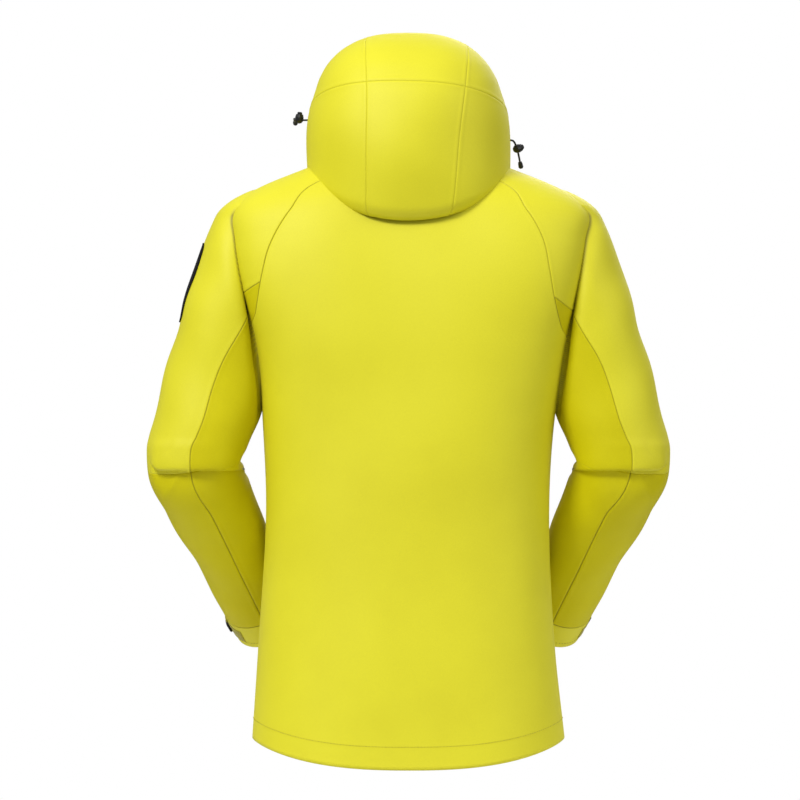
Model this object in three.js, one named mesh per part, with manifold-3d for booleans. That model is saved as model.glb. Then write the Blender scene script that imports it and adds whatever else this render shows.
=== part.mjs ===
// Hooded hardshell jacket on a hidden form: millimetres, +Z up, front towards -Y, wearer's left at +X.
// The origin is the middle of the hanger loop inside the back of the neck.
import * as THREE from 'three';
import { mergeVertices } from 'three/addons/utils/BufferGeometryUtils.js';
import Module from 'manifold-3d';

const wasm = await Module();
wasm.setup();

// ---- Driving dimensions -------------------------------------------------------------------------
const GAP = 0.3; // clearance between pieces that touch
const WALL = 2.5; // thickness of the laminate shell with its seams and tape
const LOOP_DEPTH = 66; // hanger loop behind the torso's middle plane
const FRONT_TOP = 84; // front zip line ahead of the middle plane, at the collar's top
const FRONT_SLOPE = 0.0844; // how much the zip line leans forward per mm of height
const COLLAR_TOP = 52;
const SEAM_X = 60; // hood's long seams either side of the middle
const HEM_Z = -720; // hem height at the side seams
const HEM_DROP_BACK = 38;
const HEM_DROP_FRONT = 14;
const UPPER_RADIUS = 63; // sleeve radius at the elbow
const FOREARM_RADIUS = 58;
const CUFF_RADIUS = 46;
const ELBOW_REACH = 45; // elbow panel on each side of the elbow's centre
const CUFF_LENGTH = 38;
const TAB_WIDTH = 24;
const TAB_THICK = 2;
const BADGE_LENGTH = 104;
const BADGE_WIDTH = 76;
const BADGE_THICK = 2.4;
const ZIP_WIDTH = 10; // half of the zip's tape width
const COIL_WIDTH = 2.6; // half of the closed coil's width
const SLIDER_LENGTH = 15;
const POCKET_LENGTH = 165;
const POCKET_WIDTH = 15;
const CORD_DIAMETER = 2.6;
const LOCK_RADIUS = 5.6;
const BUTTON_RADIUS = 3.2;
const BUTTON_TRAVEL = 2;

const YELLOW = 0xdcd53e;
const YELLOW_SHADE = 0xc9c132;
const BLACK = 0x17181a;

// ---- Small tools --------------------------------------------------------------------------------
const v = (x, y, z) => new THREE.Vector3(x, y, z);
const Y_AXIS = v(0, 1, 0);
const Z_AXIS = v(0, 0, 1);
const part = new THREE.Group();
part.position.y = -LOOP_DEPTH;

function toSolid(geometry) {
  const plain = geometry.clone();
  plain.deleteAttribute('normal');
  plain.deleteAttribute('uv');
  const merged = mergeVertices(plain, 1e-4);
  const vertProperties = new Float32Array(merged.attributes.position.array);
  const triVerts = new Uint32Array(merged.index.array);
  return new wasm.Manifold(new wasm.Mesh({ numProp: 3, vertProperties, triVerts }));
}

function addPiece(name, solid, colour, roughness = 0.75, metalness = 0, parent = part) {
  const made = solid.getMesh();
  const geometry = new THREE.BufferGeometry();
  geometry.setAttribute('position', new THREE.BufferAttribute(made.vertProperties, 3));
  geometry.setIndex(new THREE.BufferAttribute(made.triVerts, 1));
  geometry.computeVertexNormals();
  const material = new THREE.MeshStandardMaterial({ color: colour, roughness, metalness });
  const mesh = new THREE.Mesh(geometry, material);
  mesh.name = name;
  parent.add(mesh);
  return mesh;
}

// Closed solid through rings of equal count, with flat caps; turned to face outwards.
function loft(rings, side = 1) {
  const count = rings[0].length;
  const points = rings.flat();
  const last = rings.length - 1;
  const middle = ring => ring.reduce((sum, p) => sum.add(p), v(0, 0, 0)).divideScalar(count);
  points.push(middle(rings[0]), middle(rings[last]));
  const faces = [];
  for (let i = 0; i < count; i += 1) {
    const j = (i + 1) % count;
    faces.push(points.length - 2, j, i);
    faces.push(points.length - 1, last * count + i, last * count + j);
    for (let k = 0; k < last; k += 1) {
      const low = k * count;
      const high = low + count;
      faces.push(low + i, low + j, high + i, low + j, high + j, high + i);
    }
  }
  const placed = points.map(p => v(side * p.x, p.y, p.z));
  let volume = 0;
  for (let f = 0; f < faces.length; f += 3) {
    const [a, b, c] = faces.slice(f, f + 3).map(index => placed[index]);
    volume += a.dot(b.clone().cross(c));
  }
  if (volume < 0) faces.reverse();
  const geometry = new THREE.BufferGeometry();
  geometry.setAttribute('position', new THREE.Float32BufferAttribute(placed.flatMap(p => p.toArray()), 3));
  geometry.setIndex(faces);
  return toSolid(geometry);
}

// Outline in x and z, extruded along y from yLow to yHigh.
function prism(outline, yLow, yHigh, side = 1) {
  const shape = new THREE.Shape(outline.map(([x, z]) => new THREE.Vector2(side * x, z)));
  const geometry = new THREE.ExtrudeGeometry(shape, { depth: yHigh - yLow, bevelEnabled: false });
  geometry.rotateX(Math.PI / 2);
  geometry.translate(0, yHigh, 0);
  return toSolid(geometry);
}

// Everything on the side of a plane that its normal points to.
function beyond(point, normal) {
  const size = 2400;
  const geometry = new THREE.BoxGeometry(size, size, size);
  geometry.translate(0, 0, size / 2);
  geometry.applyQuaternion(new THREE.Quaternion().setFromUnitVectors(Z_AXIS, normal.clone().normalize()));
  geometry.translate(point.x, point.y, point.z);
  return toSolid(geometry);
}

function splitByPlane(solid, point, normal) {
  const step = normal.clone().normalize().multiplyScalar(GAP / 2);
  const back = normal.clone().negate();
  return [
    solid.subtract(beyond(point.clone().add(step), back)),
    solid.subtract(beyond(point.clone().sub(step), normal)),
  ];
}

function box(sizeX, sizeY, sizeZ, centre) {
  const geometry = new THREE.BoxGeometry(sizeX, sizeY, sizeZ);
  geometry.translate(centre.x, centre.y, centre.z);
  return toSolid(geometry);
}

// The largest of the separate bodies of a solid.
function mainBody(solid) {
  const bodies = solid.decompose();
  return bodies.reduce((best, body) => (body.volume() > best.volume() ? body : best));
}

const ringAngles = count => Array.from({ length: count }, (_, i) => (2 * Math.PI * i) / count);
const power = (value, exponent) => Math.sign(value) * Math.abs(value) ** exponent;

// Horizontal superellipse with its own depth towards the back and the front.
function levelRing({ z, half, back, front, drop = () => 0 }, grow, count, squareness) {
  const e = 2 / squareness;
  return ringAngles(count).map(angle => {
    const s = Math.sin(angle);
    const depth = (s > 0 ? back : front) + grow;
    return v((half + grow) * power(Math.cos(angle), e), depth * power(s, e), z - drop(s));
  });
}

const frontDepth = z => FRONT_TOP + (COLLAR_TOP - z) * FRONT_SLOPE;

// ---- Torso --------------------------------------------------------------------------------------
const hemDrop = share => s => share * (s > 0 ? HEM_DROP_BACK * s ** 1.6 : HEM_DROP_FRONT * (-s) ** 1.6);
const TORSO = [
  { z: 48, half: 70, back: 50 },
  { z: 22, half: 137, back: 68 },
  { z: 0, half: 188, back: 84 },
  { z: -25, half: 214, back: 98 },
  { z: -60, half: 216, back: 109 },
  { z: -120, half: 205, back: 121 },
  { z: -200, half: 195, back: 130 },
  { z: -300, half: 189, back: 135 },
  { z: -420, half: 185, back: 137 },
  { z: -560, half: 192, back: 143, share: 0.35 },
  { z: HEM_Z, half: 204, back: 150, share: 1 },
];

function torsoBody(grow, pastHem = 0) {
  const levels = TORSO.map(level => ({
    ...level,
    half: level.half,
    front: frontDepth(level.z - HEM_DROP_FRONT * (level.share ?? 0)),
    drop: hemDrop(level.share ?? 0),
  }));
  const rings = levels.map(level => levelRing(level, grow, 36, 2.5));
  rings[0] = rings[0].map(p => v(p.x, p.y, p.z + Math.min(grow, 0.5)));
  if (pastHem) {
    rings.push(rings.at(-1).map(p => v(p.x, p.y, p.z - pastHem)));
  }
  return loft(rings);
}

// ---- Sleeves ------------------------------------------------------------------------------------
const ELBOW = v(280, 15, -368);
const SPINE = [
  { at: v(112, 3, -62), wide: 72, deep: 62 },
  { at: v(156, 4, -78), wide: 88, deep: 76 },
  { at: v(185, 5, -105), wide: 92, deep: 80 },
  { at: v(218, 6, -165), wide: 75, deep: 73 },
  { at: v(241, 8, -212), wide: 66, deep: 65 },
  { at: v(257, 10, -262), wide: 62, deep: 62 },
];
const CUFF_END = v(185, -158, -574);
const UPPER_DIRECTION = ELBOW.clone().sub(SPINE.at(-1).at).normalize();
const FOREARM_DIRECTION = CUFF_END.clone().sub(ELBOW).normalize();
const UPPER_END = ELBOW.clone().addScaledVector(UPPER_DIRECTION, -ELBOW_REACH);
const FOREARM_START = ELBOW.clone().addScaledVector(FOREARM_DIRECTION, ELBOW_REACH);
const CUFF_SEAM = CUFF_END.clone().addScaledVector(FOREARM_DIRECTION, -CUFF_LENGTH);
const BEND_AXIS = UPPER_DIRECTION.clone().cross(FOREARM_DIRECTION).normalize();

// Ring across a sleeve at a point of its middle line.
function sleeveRing(centre, direction, wide, deep, count = 24) {
  const outward = direction.clone().cross(Y_AXIS).normalize();
  if (outward.x < 0) outward.negate();
  const rearward = direction.clone().cross(outward).normalize();
  if (rearward.y < 0) rearward.negate();
  return ringAngles(count).map(angle =>
    centre.clone()
      .addScaledVector(outward, wide * Math.cos(angle))
      .addScaledVector(rearward, deep * Math.sin(angle)));
}

function upperSleeve(grow, side, past = 0) {
  const stops = [...SPINE, { at: UPPER_END, wide: UPPER_RADIUS, deep: UPPER_RADIUS }];
  const rings = stops.map((stop, i) => {
    const before = stops[Math.max(i - 1, 0)].at;
    const after = stops[Math.min(i + 1, stops.length - 1)].at;
    const direction = i === stops.length - 1 ? UPPER_DIRECTION : after.clone().sub(before).normalize();
    return sleeveRing(stop.at, direction, stop.wide + grow, stop.deep + grow);
  });
  if (past) {
    rings.push(rings.at(-1).map(p => p.clone().addScaledVector(UPPER_DIRECTION, past)));
  }
  return loft(rings, side);
}

function straightSleeve(from, to, radiusFrom, radiusTo, direction, side, past = 0) {
  const start = from.clone().addScaledVector(direction, -past);
  const end = to.clone().addScaledVector(direction, past);
  return loft([
    sleeveRing(start, direction, radiusFrom, radiusFrom),
    sleeveRing(end, direction, radiusTo, radiusTo),
  ], side);
}

function elbowBend(grow, side, past = 0) {
  const miter = UPPER_DIRECTION.clone().add(FOREARM_DIRECTION).normalize();
  const radius = (UPPER_RADIUS + FOREARM_RADIUS) / 2 + 2 + grow;
  const edge = ELBOW_REACH - GAP + past;
  const flare = 1 / miter.dot(UPPER_DIRECTION);
  const first = sleeveRing(ELBOW.clone().addScaledVector(UPPER_DIRECTION, -edge), UPPER_DIRECTION,
    UPPER_RADIUS + grow, UPPER_RADIUS + grow);
  const last = sleeveRing(ELBOW.clone().addScaledVector(FOREARM_DIRECTION, edge), FOREARM_DIRECTION,
    FOREARM_RADIUS + grow, FOREARM_RADIUS + grow);
  const inPlane = BEND_AXIS.clone().cross(miter).normalize();
  const middle = first.map((p, i) => {
    const mean = p.clone().add(last[i]).multiplyScalar(0.5).sub(ELBOW);
    const across = BEND_AXIS.dot(mean);
    const along = inPlane.dot(mean);
    const length = Math.hypot(across, along);
    return ELBOW.clone()
      .addScaledVector(BEND_AXIS, (radius * across) / length)
      .addScaledVector(inPlane, (radius * flare * along) / length);
  });
  return loft([first, middle, last], side);
}

// ---- Collar -------------------------------------------------------------------------------------
const collarFoot = s => 34 - (s > 0 ? 22 * s ** 1.3 : 88 * (-s) ** 1.3);
function collarBody(grow, low = 0, high = 0) {
  const foot = ringAngles(28).map(angle => {
    const s = Math.sin(angle);
    const z = collarFoot(s) - low;
    const depth = s > 0 ? 76 : frontDepth(z);
    return v((84 + grow) * power(Math.cos(angle), 0.9), (depth + grow) * power(s, 0.9), z);
  });
  const rim = levelRing({ z: COLLAR_TOP + high, half: 74, back: 68, front: frontDepth(COLLAR_TOP + high) },
    grow, 28, 2 / 0.9);
  return loft([rim, foot]);
}

// ---- The shell's hollow form and its panels -----------------------------------------------------
const neckHole = collarBody(GAP, GAP, 60);
const neckWay = collarBody(-WALL, 60, 60);
let outer = torsoBody(0);
let inner = torsoBody(-WALL, 20).add(neckWay);
for (const side of [1, -1]) {
  outer = outer.add(upperSleeve(0, side));
  inner = inner.add(upperSleeve(-WALL, side, 20));
}
const shell = outer.subtract(inner).subtract(neckHole);
const clearOfTorso = torsoBody(GAP);

// Seam from the neck over the shoulder blade to the armpit, then down between torso and sleeve.
const RAGLAN_SEAM = [[96, 60], [120, 3], [154, -33], [180, -78], [191, -117], [197, -146], [200, -176],
  [199, -208], [192.5, -262], [191.5, -345]];
const bodyOutline = [...RAGLAN_SEAM, [320, -346], [320, -800], [0, -800], [0, 60]];
const sleeveOutline = [...RAGLAN_SEAM.map(([x, z]) => [x + 1.4 * GAP, z]), [460, -345], [460, 60]];
const bodyRegion = prism(bodyOutline, -320, 320, 1).add(prism(bodyOutline, -320, 320, -1));
const bodyShell = mainBody(shell.intersect(bodyRegion));

const SIDE_SEAM_Y = -8;
const [backShell, frontShell] = splitByPlane(bodyShell, v(0, SIDE_SEAM_Y, 0), Y_AXIS);
addPiece('back_panel', mainBody(backShell), YELLOW);
const zipSlot = box(2 * (COIL_WIDTH + GAP + 1), 400, 1600, v(0, -200, -700));
for (const [side, name] of [[1, 'left'], [-1, 'right']]) {
  const half = frontShell.subtract(zipSlot).subtract(beyond(v(0, 0, 0), v(-side, 0, 0)));
  addPiece(`${name}_front_panel`, mainBody(half), YELLOW);
}

const collar = collarBody(0).subtract(collarBody(-WALL, 20, 20)).subtract(zipSlot);
addPiece('collar', mainBody(collar), YELLOW);

// ---- Front zip, in a frame that leans with the front edge ---------------------------------------
const zipFrame = new THREE.Group();
zipFrame.position.set(0, -FRONT_TOP, COLLAR_TOP);
zipFrame.rotation.x = -Math.atan(FRONT_SLOPE);
part.add(zipFrame);
const ZIP_TOP = -4;
const ZIP_BOTTOM = -778;
const zipLength = ZIP_TOP - ZIP_BOTTOM;
const zipMiddle = (ZIP_TOP + ZIP_BOTTOM) / 2;
const tapeBack = WALL + GAP + 0.7;
for (const [side, name] of [[1, 'left'], [-1, 'right']]) {
  const tape = box(ZIP_WIDTH - GAP / 2, 1, zipLength, v((side * (ZIP_WIDTH + GAP / 2)) / 2, tapeBack + 0.5, zipMiddle));
  const coil = box(COIL_WIDTH - GAP / 2, tapeBack + 0.9, zipLength,
    v((side * (COIL_WIDTH + GAP / 2)) / 2, (tapeBack + 0.9) / 2 - 0.2, zipMiddle));
  addPiece(`${name}_zip_tape`, tape.add(coil), BLACK, 0.6, 0, zipFrame);
}

const SLIDER_TOP = ZIP_TOP - 6;
const sliderY = -0.2 - GAP;
const sliderShape = new THREE.Shape();
sliderShape.moveTo(-3.6, -SLIDER_LENGTH);
sliderShape.lineTo(3.6, -SLIDER_LENGTH);
sliderShape.absarc(0, -4, 5, 0, Math.PI, false);
function plateAlongY(shape, yFront, yBack, bevel = 0) {
  const depth = yBack - yFront - 2 * bevel;
  const geometry = new THREE.ExtrudeGeometry(shape, {
    depth, bevelEnabled: bevel > 0, bevelThickness: bevel, bevelSize: bevel, bevelOffset: -bevel,
    bevelSegments: 1, curveSegments: 6,
  });
  geometry.rotateX(Math.PI / 2);
  geometry.translate(0, yBack - bevel, 0);
  return toSolid(geometry);
}
const lug = box(3, 3, 7, v(0, sliderY - 2.8 - 1.4, -7));
const lugHole = box(6, 1.6, 3, v(0, sliderY - 4.4, -7));
const slider = plateAlongY(sliderShape, sliderY - 2.8, sliderY, 0.5).add(lug).subtract(lugHole);
const sliderPlace = new THREE.Group();
sliderPlace.position.z = SLIDER_TOP;
zipFrame.add(sliderPlace);
addPiece('front_zip_slider', slider, BLACK, 0.35, 0.3, sliderPlace);

// A pull tab hangs from the lug's hole by its crossbar, in front of the slider.
function pullTab(length, width) {
  const outline = new THREE.Shape();
  outline.absarc(0, -length + width / 2, width / 2, Math.PI, 2 * Math.PI, false);
  outline.lineTo(width / 2, 0.55);
  outline.lineTo(-width / 2, 0.55);
  const eye = new THREE.Path();
  eye.moveTo(-2.4, -6);
  eye.lineTo(-2.4, -0.55);
  eye.lineTo(2.4, -0.55);
  eye.lineTo(2.4, -6);
  outline.holes.push(eye);
  return plateAlongY(outline, -0.6, 0.6);
}
const pullPlace = new THREE.Group();
pullPlace.position.set(0, sliderY - 4.4, SLIDER_TOP - 7);
zipFrame.add(pullPlace);
addPiece('front_zip_pull', pullTab(34, 8.4), BLACK, 0.5, 0, pullPlace);

// Wind flap behind the zip and soft guard over its top end.
const FLAP_TOP = -112;
const FLAP_BOTTOM = ZIP_BOTTOM + 7;
const flap = box(42, 1.4, FLAP_TOP - FLAP_BOTTOM,
  v(0, tapeBack + 1 + GAP + 0.7, (FLAP_TOP + FLAP_BOTTOM) / 2));
addPiece('inner_storm_flap', flap, YELLOW_SHADE, 0.8, 0, zipFrame);
const guard = box(24, 5.2, 3, v(0, 2.6, GAP + 1.5));
addPiece('chin_guard', guard, YELLOW_SHADE, 0.9, 0, zipFrame);

// ---- Hanger loop --------------------------------------------------------------------------------
const loopPath = new THREE.CatmullRomCurve3([
  v(-26, 72, 15), v(-20, 68, 4), v(0, LOOP_DEPTH, 0), v(20, 68, 4), v(26, 72, 15),
]);
const ribbon = new THREE.Shape();
ribbon.moveTo(-3, -0.7);
ribbon.lineTo(3, -0.7);
ribbon.lineTo(3, 0.7);
ribbon.lineTo(-3, 0.7);
const loopSolid = toSolid(new THREE.ExtrudeGeometry(ribbon, { steps: 16, bevelEnabled: false, extrudePath: loopPath }));
const neckSeat = collarBody(-WALL - GAP, 20, 20);
addPiece('hanger_loop', mainBody(loopSolid.intersect(neckSeat)), BLACK, 0.8);

// ---- Sleeve panels, cuffs, tabs and the badge panel ---------------------------------------------
const UNDERARM_SEAM = [[205, -140], [210, -172], [245, -234], [272, -325], [292, -420]];
const underarmOutline = [...UNDERARM_SEAM, [150, -420], [150, -140]];
const cuffOut = Y_AXIS.clone().cross(FOREARM_DIRECTION).normalize();
if (cuffOut.x < 0) cuffOut.negate();
const cuffRear = cuffOut.clone().cross(FOREARM_DIRECTION).normalize();
if (cuffRear.y < 0) cuffRear.negate();

// Slab of a sleeve's ring between two angles, measured from its outer side towards the back.
function sectorOfCuff(fromAngle, toAngle, near, far, side) {
  const rays = Array.from({ length: 9 }, (_, i) => fromAngle + ((toAngle - fromAngle) * i) / 8);
  const ringAt = along => {
    const centre = CUFF_END.clone().addScaledVector(FOREARM_DIRECTION, -along);
    const tip = angle => centre.clone()
      .addScaledVector(cuffOut, 90 * Math.cos(angle))
      .addScaledVector(cuffRear, 90 * Math.sin(angle));
    return [...rays.map(tip), centre];
  };
  return loft([ringAt(near), ringAt(far)], side);
}

function cuffRadiusAt(along) {
  const share = along / CUFF_END.distanceTo(FOREARM_START);
  return CUFF_RADIUS + (FOREARM_RADIUS - CUFF_RADIUS) * share;
}

function forearmTube(grow, side, past = 0) {
  return straightSleeve(FOREARM_START, CUFF_END, FOREARM_RADIUS + grow, CUFF_RADIUS + grow,
    FOREARM_DIRECTION, side, past);
}

const TAB_START = -1.25; // sewn end, towards the front
const TAB_GRIP = -0.22; // where the moulded grip begins
const TAB_END = 0.16; // free end, just past the outer side
const GRIP_GAP = 0.008; // angle between the strap and its grip
const PATCH_START = TAB_START + 0.12; // loop patch under the tab
const PATCH_END = 0.72;
const TAB_NEAR = (CUFF_LENGTH - TAB_WIDTH) / 2;
for (const [side, name] of [[1, 'left'], [-1, 'right']]) {
  const sleeveRegion = prism(sleeveOutline, -320, 320, side);
  const sleeve = mainBody(shell.intersect(sleeveRegion));
  const under = prism(underarmOutline, -320, 320, side);
  const underKept = prism(underarmOutline.map(([x, z]) => [x - 1.2 * GAP, z]), -320, 320, side);
  addPiece(`${name}_raglan_sleeve`, mainBody(sleeve.subtract(under)), YELLOW);
  addPiece(`${name}_underarm_panel`, mainBody(sleeve.intersect(underKept)), YELLOW_SHADE);

  const bend = elbowBend(0, side).subtract(elbowBend(-WALL, side, 0.6));
  addPiece(`${name}_elbow_panel`, mainBody(bend), YELLOW_SHADE);

  const tube = forearmTube(0, side).subtract(forearmTube(-WALL, side, 10));
  const mirrored = p => v(side * p.x, p.y, p.z);
  const direction = mirrored(FOREARM_DIRECTION);
  const [cuff, forearm] = splitByPlane(tube, mirrored(CUFF_SEAM), direction);
  const [outerHalf, underHalf] = splitByPlane(forearm, mirrored(CUFF_END), mirrored(cuffOut));
  addPiece(`${name}_forearm_panel`, mainBody(outerHalf), YELLOW);
  addPiece(`${name}_forearm_under_panel`, mainBody(underHalf), YELLOW_SHADE);
  addPiece(`${name}_cuff`, mainBody(cuff), YELLOW);

  const patchOut = forearmTube(GAP + 0.9, side, 2).subtract(forearmTube(GAP, side, 6));
  const patchSector = sectorOfCuff(PATCH_START, PATCH_END, TAB_NEAR, TAB_NEAR + TAB_WIDTH, side);
  const patch = patchOut.intersect(patchSector);
  addPiece(`${name}_cuff_loop_patch`, mainBody(patch), BLACK, 0.95);
  const tabLow = 2 * GAP + 0.9;
  const tabRing = forearmTube(tabLow + TAB_THICK, side, 2).subtract(forearmTube(tabLow, side, 6));
  const strapSector = sectorOfCuff(TAB_START, TAB_GRIP - GRIP_GAP, TAB_NEAR, TAB_NEAR + TAB_WIDTH, side);
  const strap = tabRing.intersect(strapSector);
  const gripSector = sectorOfCuff(TAB_GRIP, TAB_END, TAB_NEAR + 1, TAB_NEAR + TAB_WIDTH - 1, side);
  const grip = tabRing.intersect(gripSector);
  addPiece(`${name}_cuff_tab`, mainBody(strap), YELLOW);
  addPiece(`${name}_cuff_grip`, mainBody(grip), BLACK, 0.45);
}

const badgeCorner = 12;
const badgeTop = v(264, 0, -72);
const badgeAlong = v(33, 0, -104).normalize();
const badgeShape = new THREE.Shape();
badgeShape.absarc(BADGE_WIDTH / 2 - badgeCorner, badgeCorner, badgeCorner, -Math.PI / 2, 0, false);
badgeShape.absarc(BADGE_WIDTH / 2 - badgeCorner, BADGE_LENGTH - badgeCorner, badgeCorner, 0, Math.PI / 2, false);
badgeShape.absarc(-BADGE_WIDTH / 2 + badgeCorner, BADGE_LENGTH - badgeCorner, badgeCorner, Math.PI / 2, Math.PI, false);
badgeShape.absarc(-BADGE_WIDTH / 2 + badgeCorner, badgeCorner, badgeCorner, Math.PI, 1.5 * Math.PI, false);
const badgeCutter = new THREE.ExtrudeGeometry(badgeShape, { depth: 120, bevelEnabled: false, curveSegments: 4 });
const badgeOut = badgeAlong.clone().cross(Y_AXIS).normalize();
if (badgeOut.x < 0) badgeOut.negate();
const badgeBasis = new THREE.Matrix4().makeBasis(badgeAlong.clone().cross(badgeOut), badgeAlong, badgeOut);
badgeCutter.applyMatrix4(badgeBasis);
badgeCutter.translate(badgeTop.x - 40 * badgeOut.x, 2, badgeTop.z - 40 * badgeOut.z);
const badge = upperSleeve(GAP + BADGE_THICK, 1).subtract(upperSleeve(GAP, 1)).intersect(toSolid(badgeCutter));
addPiece('sleeve_badge_panel', mainBody(badge), BLACK, 0.8);

// ---- Hand-pocket zips, seated on the front panels -----------------------------------------------
const POCKET_TOP = [116, -425];
const POCKET_LOW = [142, -588];

// Point of the torso's front surface at x and z.
function onFront(x, z) {
  const above = TORSO.findLastIndex(level => level.z >= z);
  const [high, low] = [TORSO[above], TORSO[above + 1]];
  const share = (high.z - z) / (high.z - low.z);
  const half = high.half + (low.half - high.half) * share;
  return v(x, -frontDepth(z) * (1 - Math.abs(x / half) ** 2.5) ** 0.4, z);
}

for (const [side, name] of [[1, 'left'], [-1, 'right']]) {
  const top = onFront(side * POCKET_TOP[0], POCKET_TOP[1]);
  const low = onFront(side * POCKET_LOW[0], POCKET_LOW[1]);
  const aside = onFront(side * (POCKET_TOP[0] + 8), POCKET_TOP[1]).sub(top);
  const upwards = top.clone().sub(low).normalize();
  const inwards = aside.cross(upwards).normalize();
  if (inwards.y < 0) inwards.negate();
  const basis = new THREE.Matrix4().makeBasis(inwards.clone().cross(upwards), inwards, upwards);
  const place = new THREE.Group();
  place.position.copy(top);
  place.quaternion.setFromRotationMatrix(basis);
  place.updateMatrix();
  part.add(place);
  const settle = place.matrix;
  const seated = settle.clone().invert();
  const face = -2.4;
  const bar = box(POCKET_WIDTH, 7, POCKET_LENGTH, v(0, face + 3.5, -POCKET_LENGTH / 2)).transform(settle.elements);
  const welt = mainBody(bar.subtract(clearOfTorso)).transform(seated.elements);
  addPiece(`${name}_pocket_zip`, welt, BLACK, 0.6, 0, place);
  const sliderFace = face - GAP;
  const pocketSlider = box(8, 2.4, 11, v(0, sliderFace - 1.2, -10));
  const pocketLug = box(2.6, 3, 6, v(0, sliderFace - 3.6, -9.5));
  const pocketHole = box(6, 1.6, 2.6, v(0, sliderFace - 3.9, -9.5));
  addPiece(`${name}_pocket_slider`, pocketSlider.add(pocketLug).subtract(pocketHole), BLACK, 0.35, 0.3, place);
  const tabPlace = new THREE.Group();
  tabPlace.position.set(0, sliderFace - 3.9, -9.5);
  place.add(tabPlace);
  addPiece(`${name}_pocket_pull`, pullTab(26, 7.4), BLACK, 0.5, 0, tabPlace);
}

// ---- Hood ---------------------------------------------------------------------------------------
const HOOD = [
  { z: 199.5, half: 22, back: 20, front: 24 },
  { z: 194, half: 52, back: 44, front: 44 },
  { z: 183, half: 77, back: 68, front: 64 },
  { z: 164, half: 101, back: 92, front: 84 },
  { z: 143, half: 115, back: 108, front: 96 },
  { z: 122, half: 122, back: 119, front: 102 },
  { z: 94, half: 129, back: 127, front: 104 },
  { z: 62, half: 132.5, back: 131, front: 102 },
  { z: 26, half: 133, back: 131, front: 97 },
  { z: -14, half: 131, back: 127, front: 97 },
  { z: -60, half: 126, back: 119, front: 97 },
];
function hoodBody(grow, pastEnd = 0) {
  const rings = HOOD.map(level => levelRing(level, grow, 32, 2.25));
  rings[0] = rings[0].map(p => v(p.x, p.y, p.z + grow));
  if (pastEnd) rings.push(rings.at(-1).map(p => v(p.x, p.y, p.z - pastEnd)));
  return loft(rings);
}

const LIP_HALF = 134;
const LIP_RISE = 26;
const LIP_DROP = 73;
const HOOD_WALL = 3;
const lipArc = Array.from({ length: 17 }, (_, i) => Math.PI + (Math.PI * i) / 16)
  .map(angle => [LIP_HALF * Math.cos(angle), LIP_RISE + LIP_DROP * Math.sin(angle)]);
const belowLip = prism([[-220, LIP_RISE], ...lipArc, [220, LIP_RISE], [220, -160], [-220, -160]], -30, 260);
const belowCheeks = box(600, 300, 300, v(0, -180 + 0.5, LIP_RISE - 150));
const faceOutline = [[-40, -60], [-40, 40], [-70, 70], [-86, 105], [-84, 135], [-62, 158], [-30, 168],
  [30, 168], [62, 158], [84, 135], [86, 105], [70, 70], [40, 40], [40, -60]];
const faceOpening = prism(faceOutline, -260, -30);
const shoulders = clearOfTorso.add(upperSleeve(GAP, 1)).add(upperSleeve(GAP, -1));
const hoodShell = mainBody(hoodBody(0).subtract(hoodBody(-HOOD_WALL, 20))
  .subtract(belowLip).subtract(belowCheeks).subtract(faceOpening).subtract(shoulders));

const CROWN_TILT = 0.28;
const crownNormal = v(0, -CROWN_TILT, 1);
const [crown, lower] = splitByPlane(hoodShell, v(0, 0, 105), crownNormal);
function cutInThree(solid, name) {
  const [left, rest] = splitByPlane(solid, v(SEAM_X, 0, 0), v(1, 0, 0));
  const [middle, right] = splitByPlane(rest, v(-SEAM_X, 0, 0), v(1, 0, 0));
  addPiece(`hood_${name}_centre`, mainBody(middle), YELLOW);
  addPiece(`hood_${name}_left`, mainBody(left), YELLOW);
  addPiece(`hood_${name}_right`, mainBody(right), YELLOW);
}
cutInThree(crown, 'crown');
cutInThree(lower, 'back');

const brimShape = new THREE.Shape();
brimShape.moveTo(-76, -40);
brimShape.bezierCurveTo(-70, -98, -40, -126, 0, -126);
brimShape.bezierCurveTo(40, -126, 70, -98, 76, -40);
brimShape.lineTo(-76, -40);
const brimGeometry = new THREE.ExtrudeGeometry(brimShape, { depth: 3, bevelEnabled: false, curveSegments: 10 });
brimGeometry.translate(0, 0, 161);
addPiece('hood_brim', mainBody(toSolid(brimGeometry).subtract(hoodBody(GAP))), YELLOW);

// ---- Hood drawcords: eyelet, free cord through its spring lock, and cord end --------------------
const CORDS = {
  left: [v(130.9, -22, 87), v(137, -23, 87), v(143, -26, 88), v(148, -33, 89), v(150, -43, 89), v(149, -54, 86)],
  right: [v(-132.1, -22, 61), v(-137.5, -22.5, 59.5), v(-141.5, -24, 52), v(-144, -25.5, 43), v(-146, -27, 33)],
};
const LOCK_AT = { left: 0.3, right: 0.5 };
function roundSection(radius, sides) {
  const section = new THREE.Shape();
  section.setFromPoints(ringAngles(sides).map(angle =>
    new THREE.Vector2(radius * Math.cos(angle), radius * Math.sin(angle))));
  return section;
}
function tubeAlong(curve, radius, steps, sides = 8) {
  return toSolid(new THREE.ExtrudeGeometry(roundSection(radius, sides), {
    steps, bevelEnabled: false, extrudePath: curve,
  }));
}
function turned(points, segments, direction, centre) {
  const geometry = new THREE.LatheGeometry(points.map(([r, y]) => new THREE.Vector2(r, y)), segments);
  geometry.applyQuaternion(new THREE.Quaternion().setFromUnitVectors(Y_AXIS, direction.clone().normalize()));
  geometry.translate(centre.x, centre.y, centre.z);
  return toSolid(geometry);
}

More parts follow.
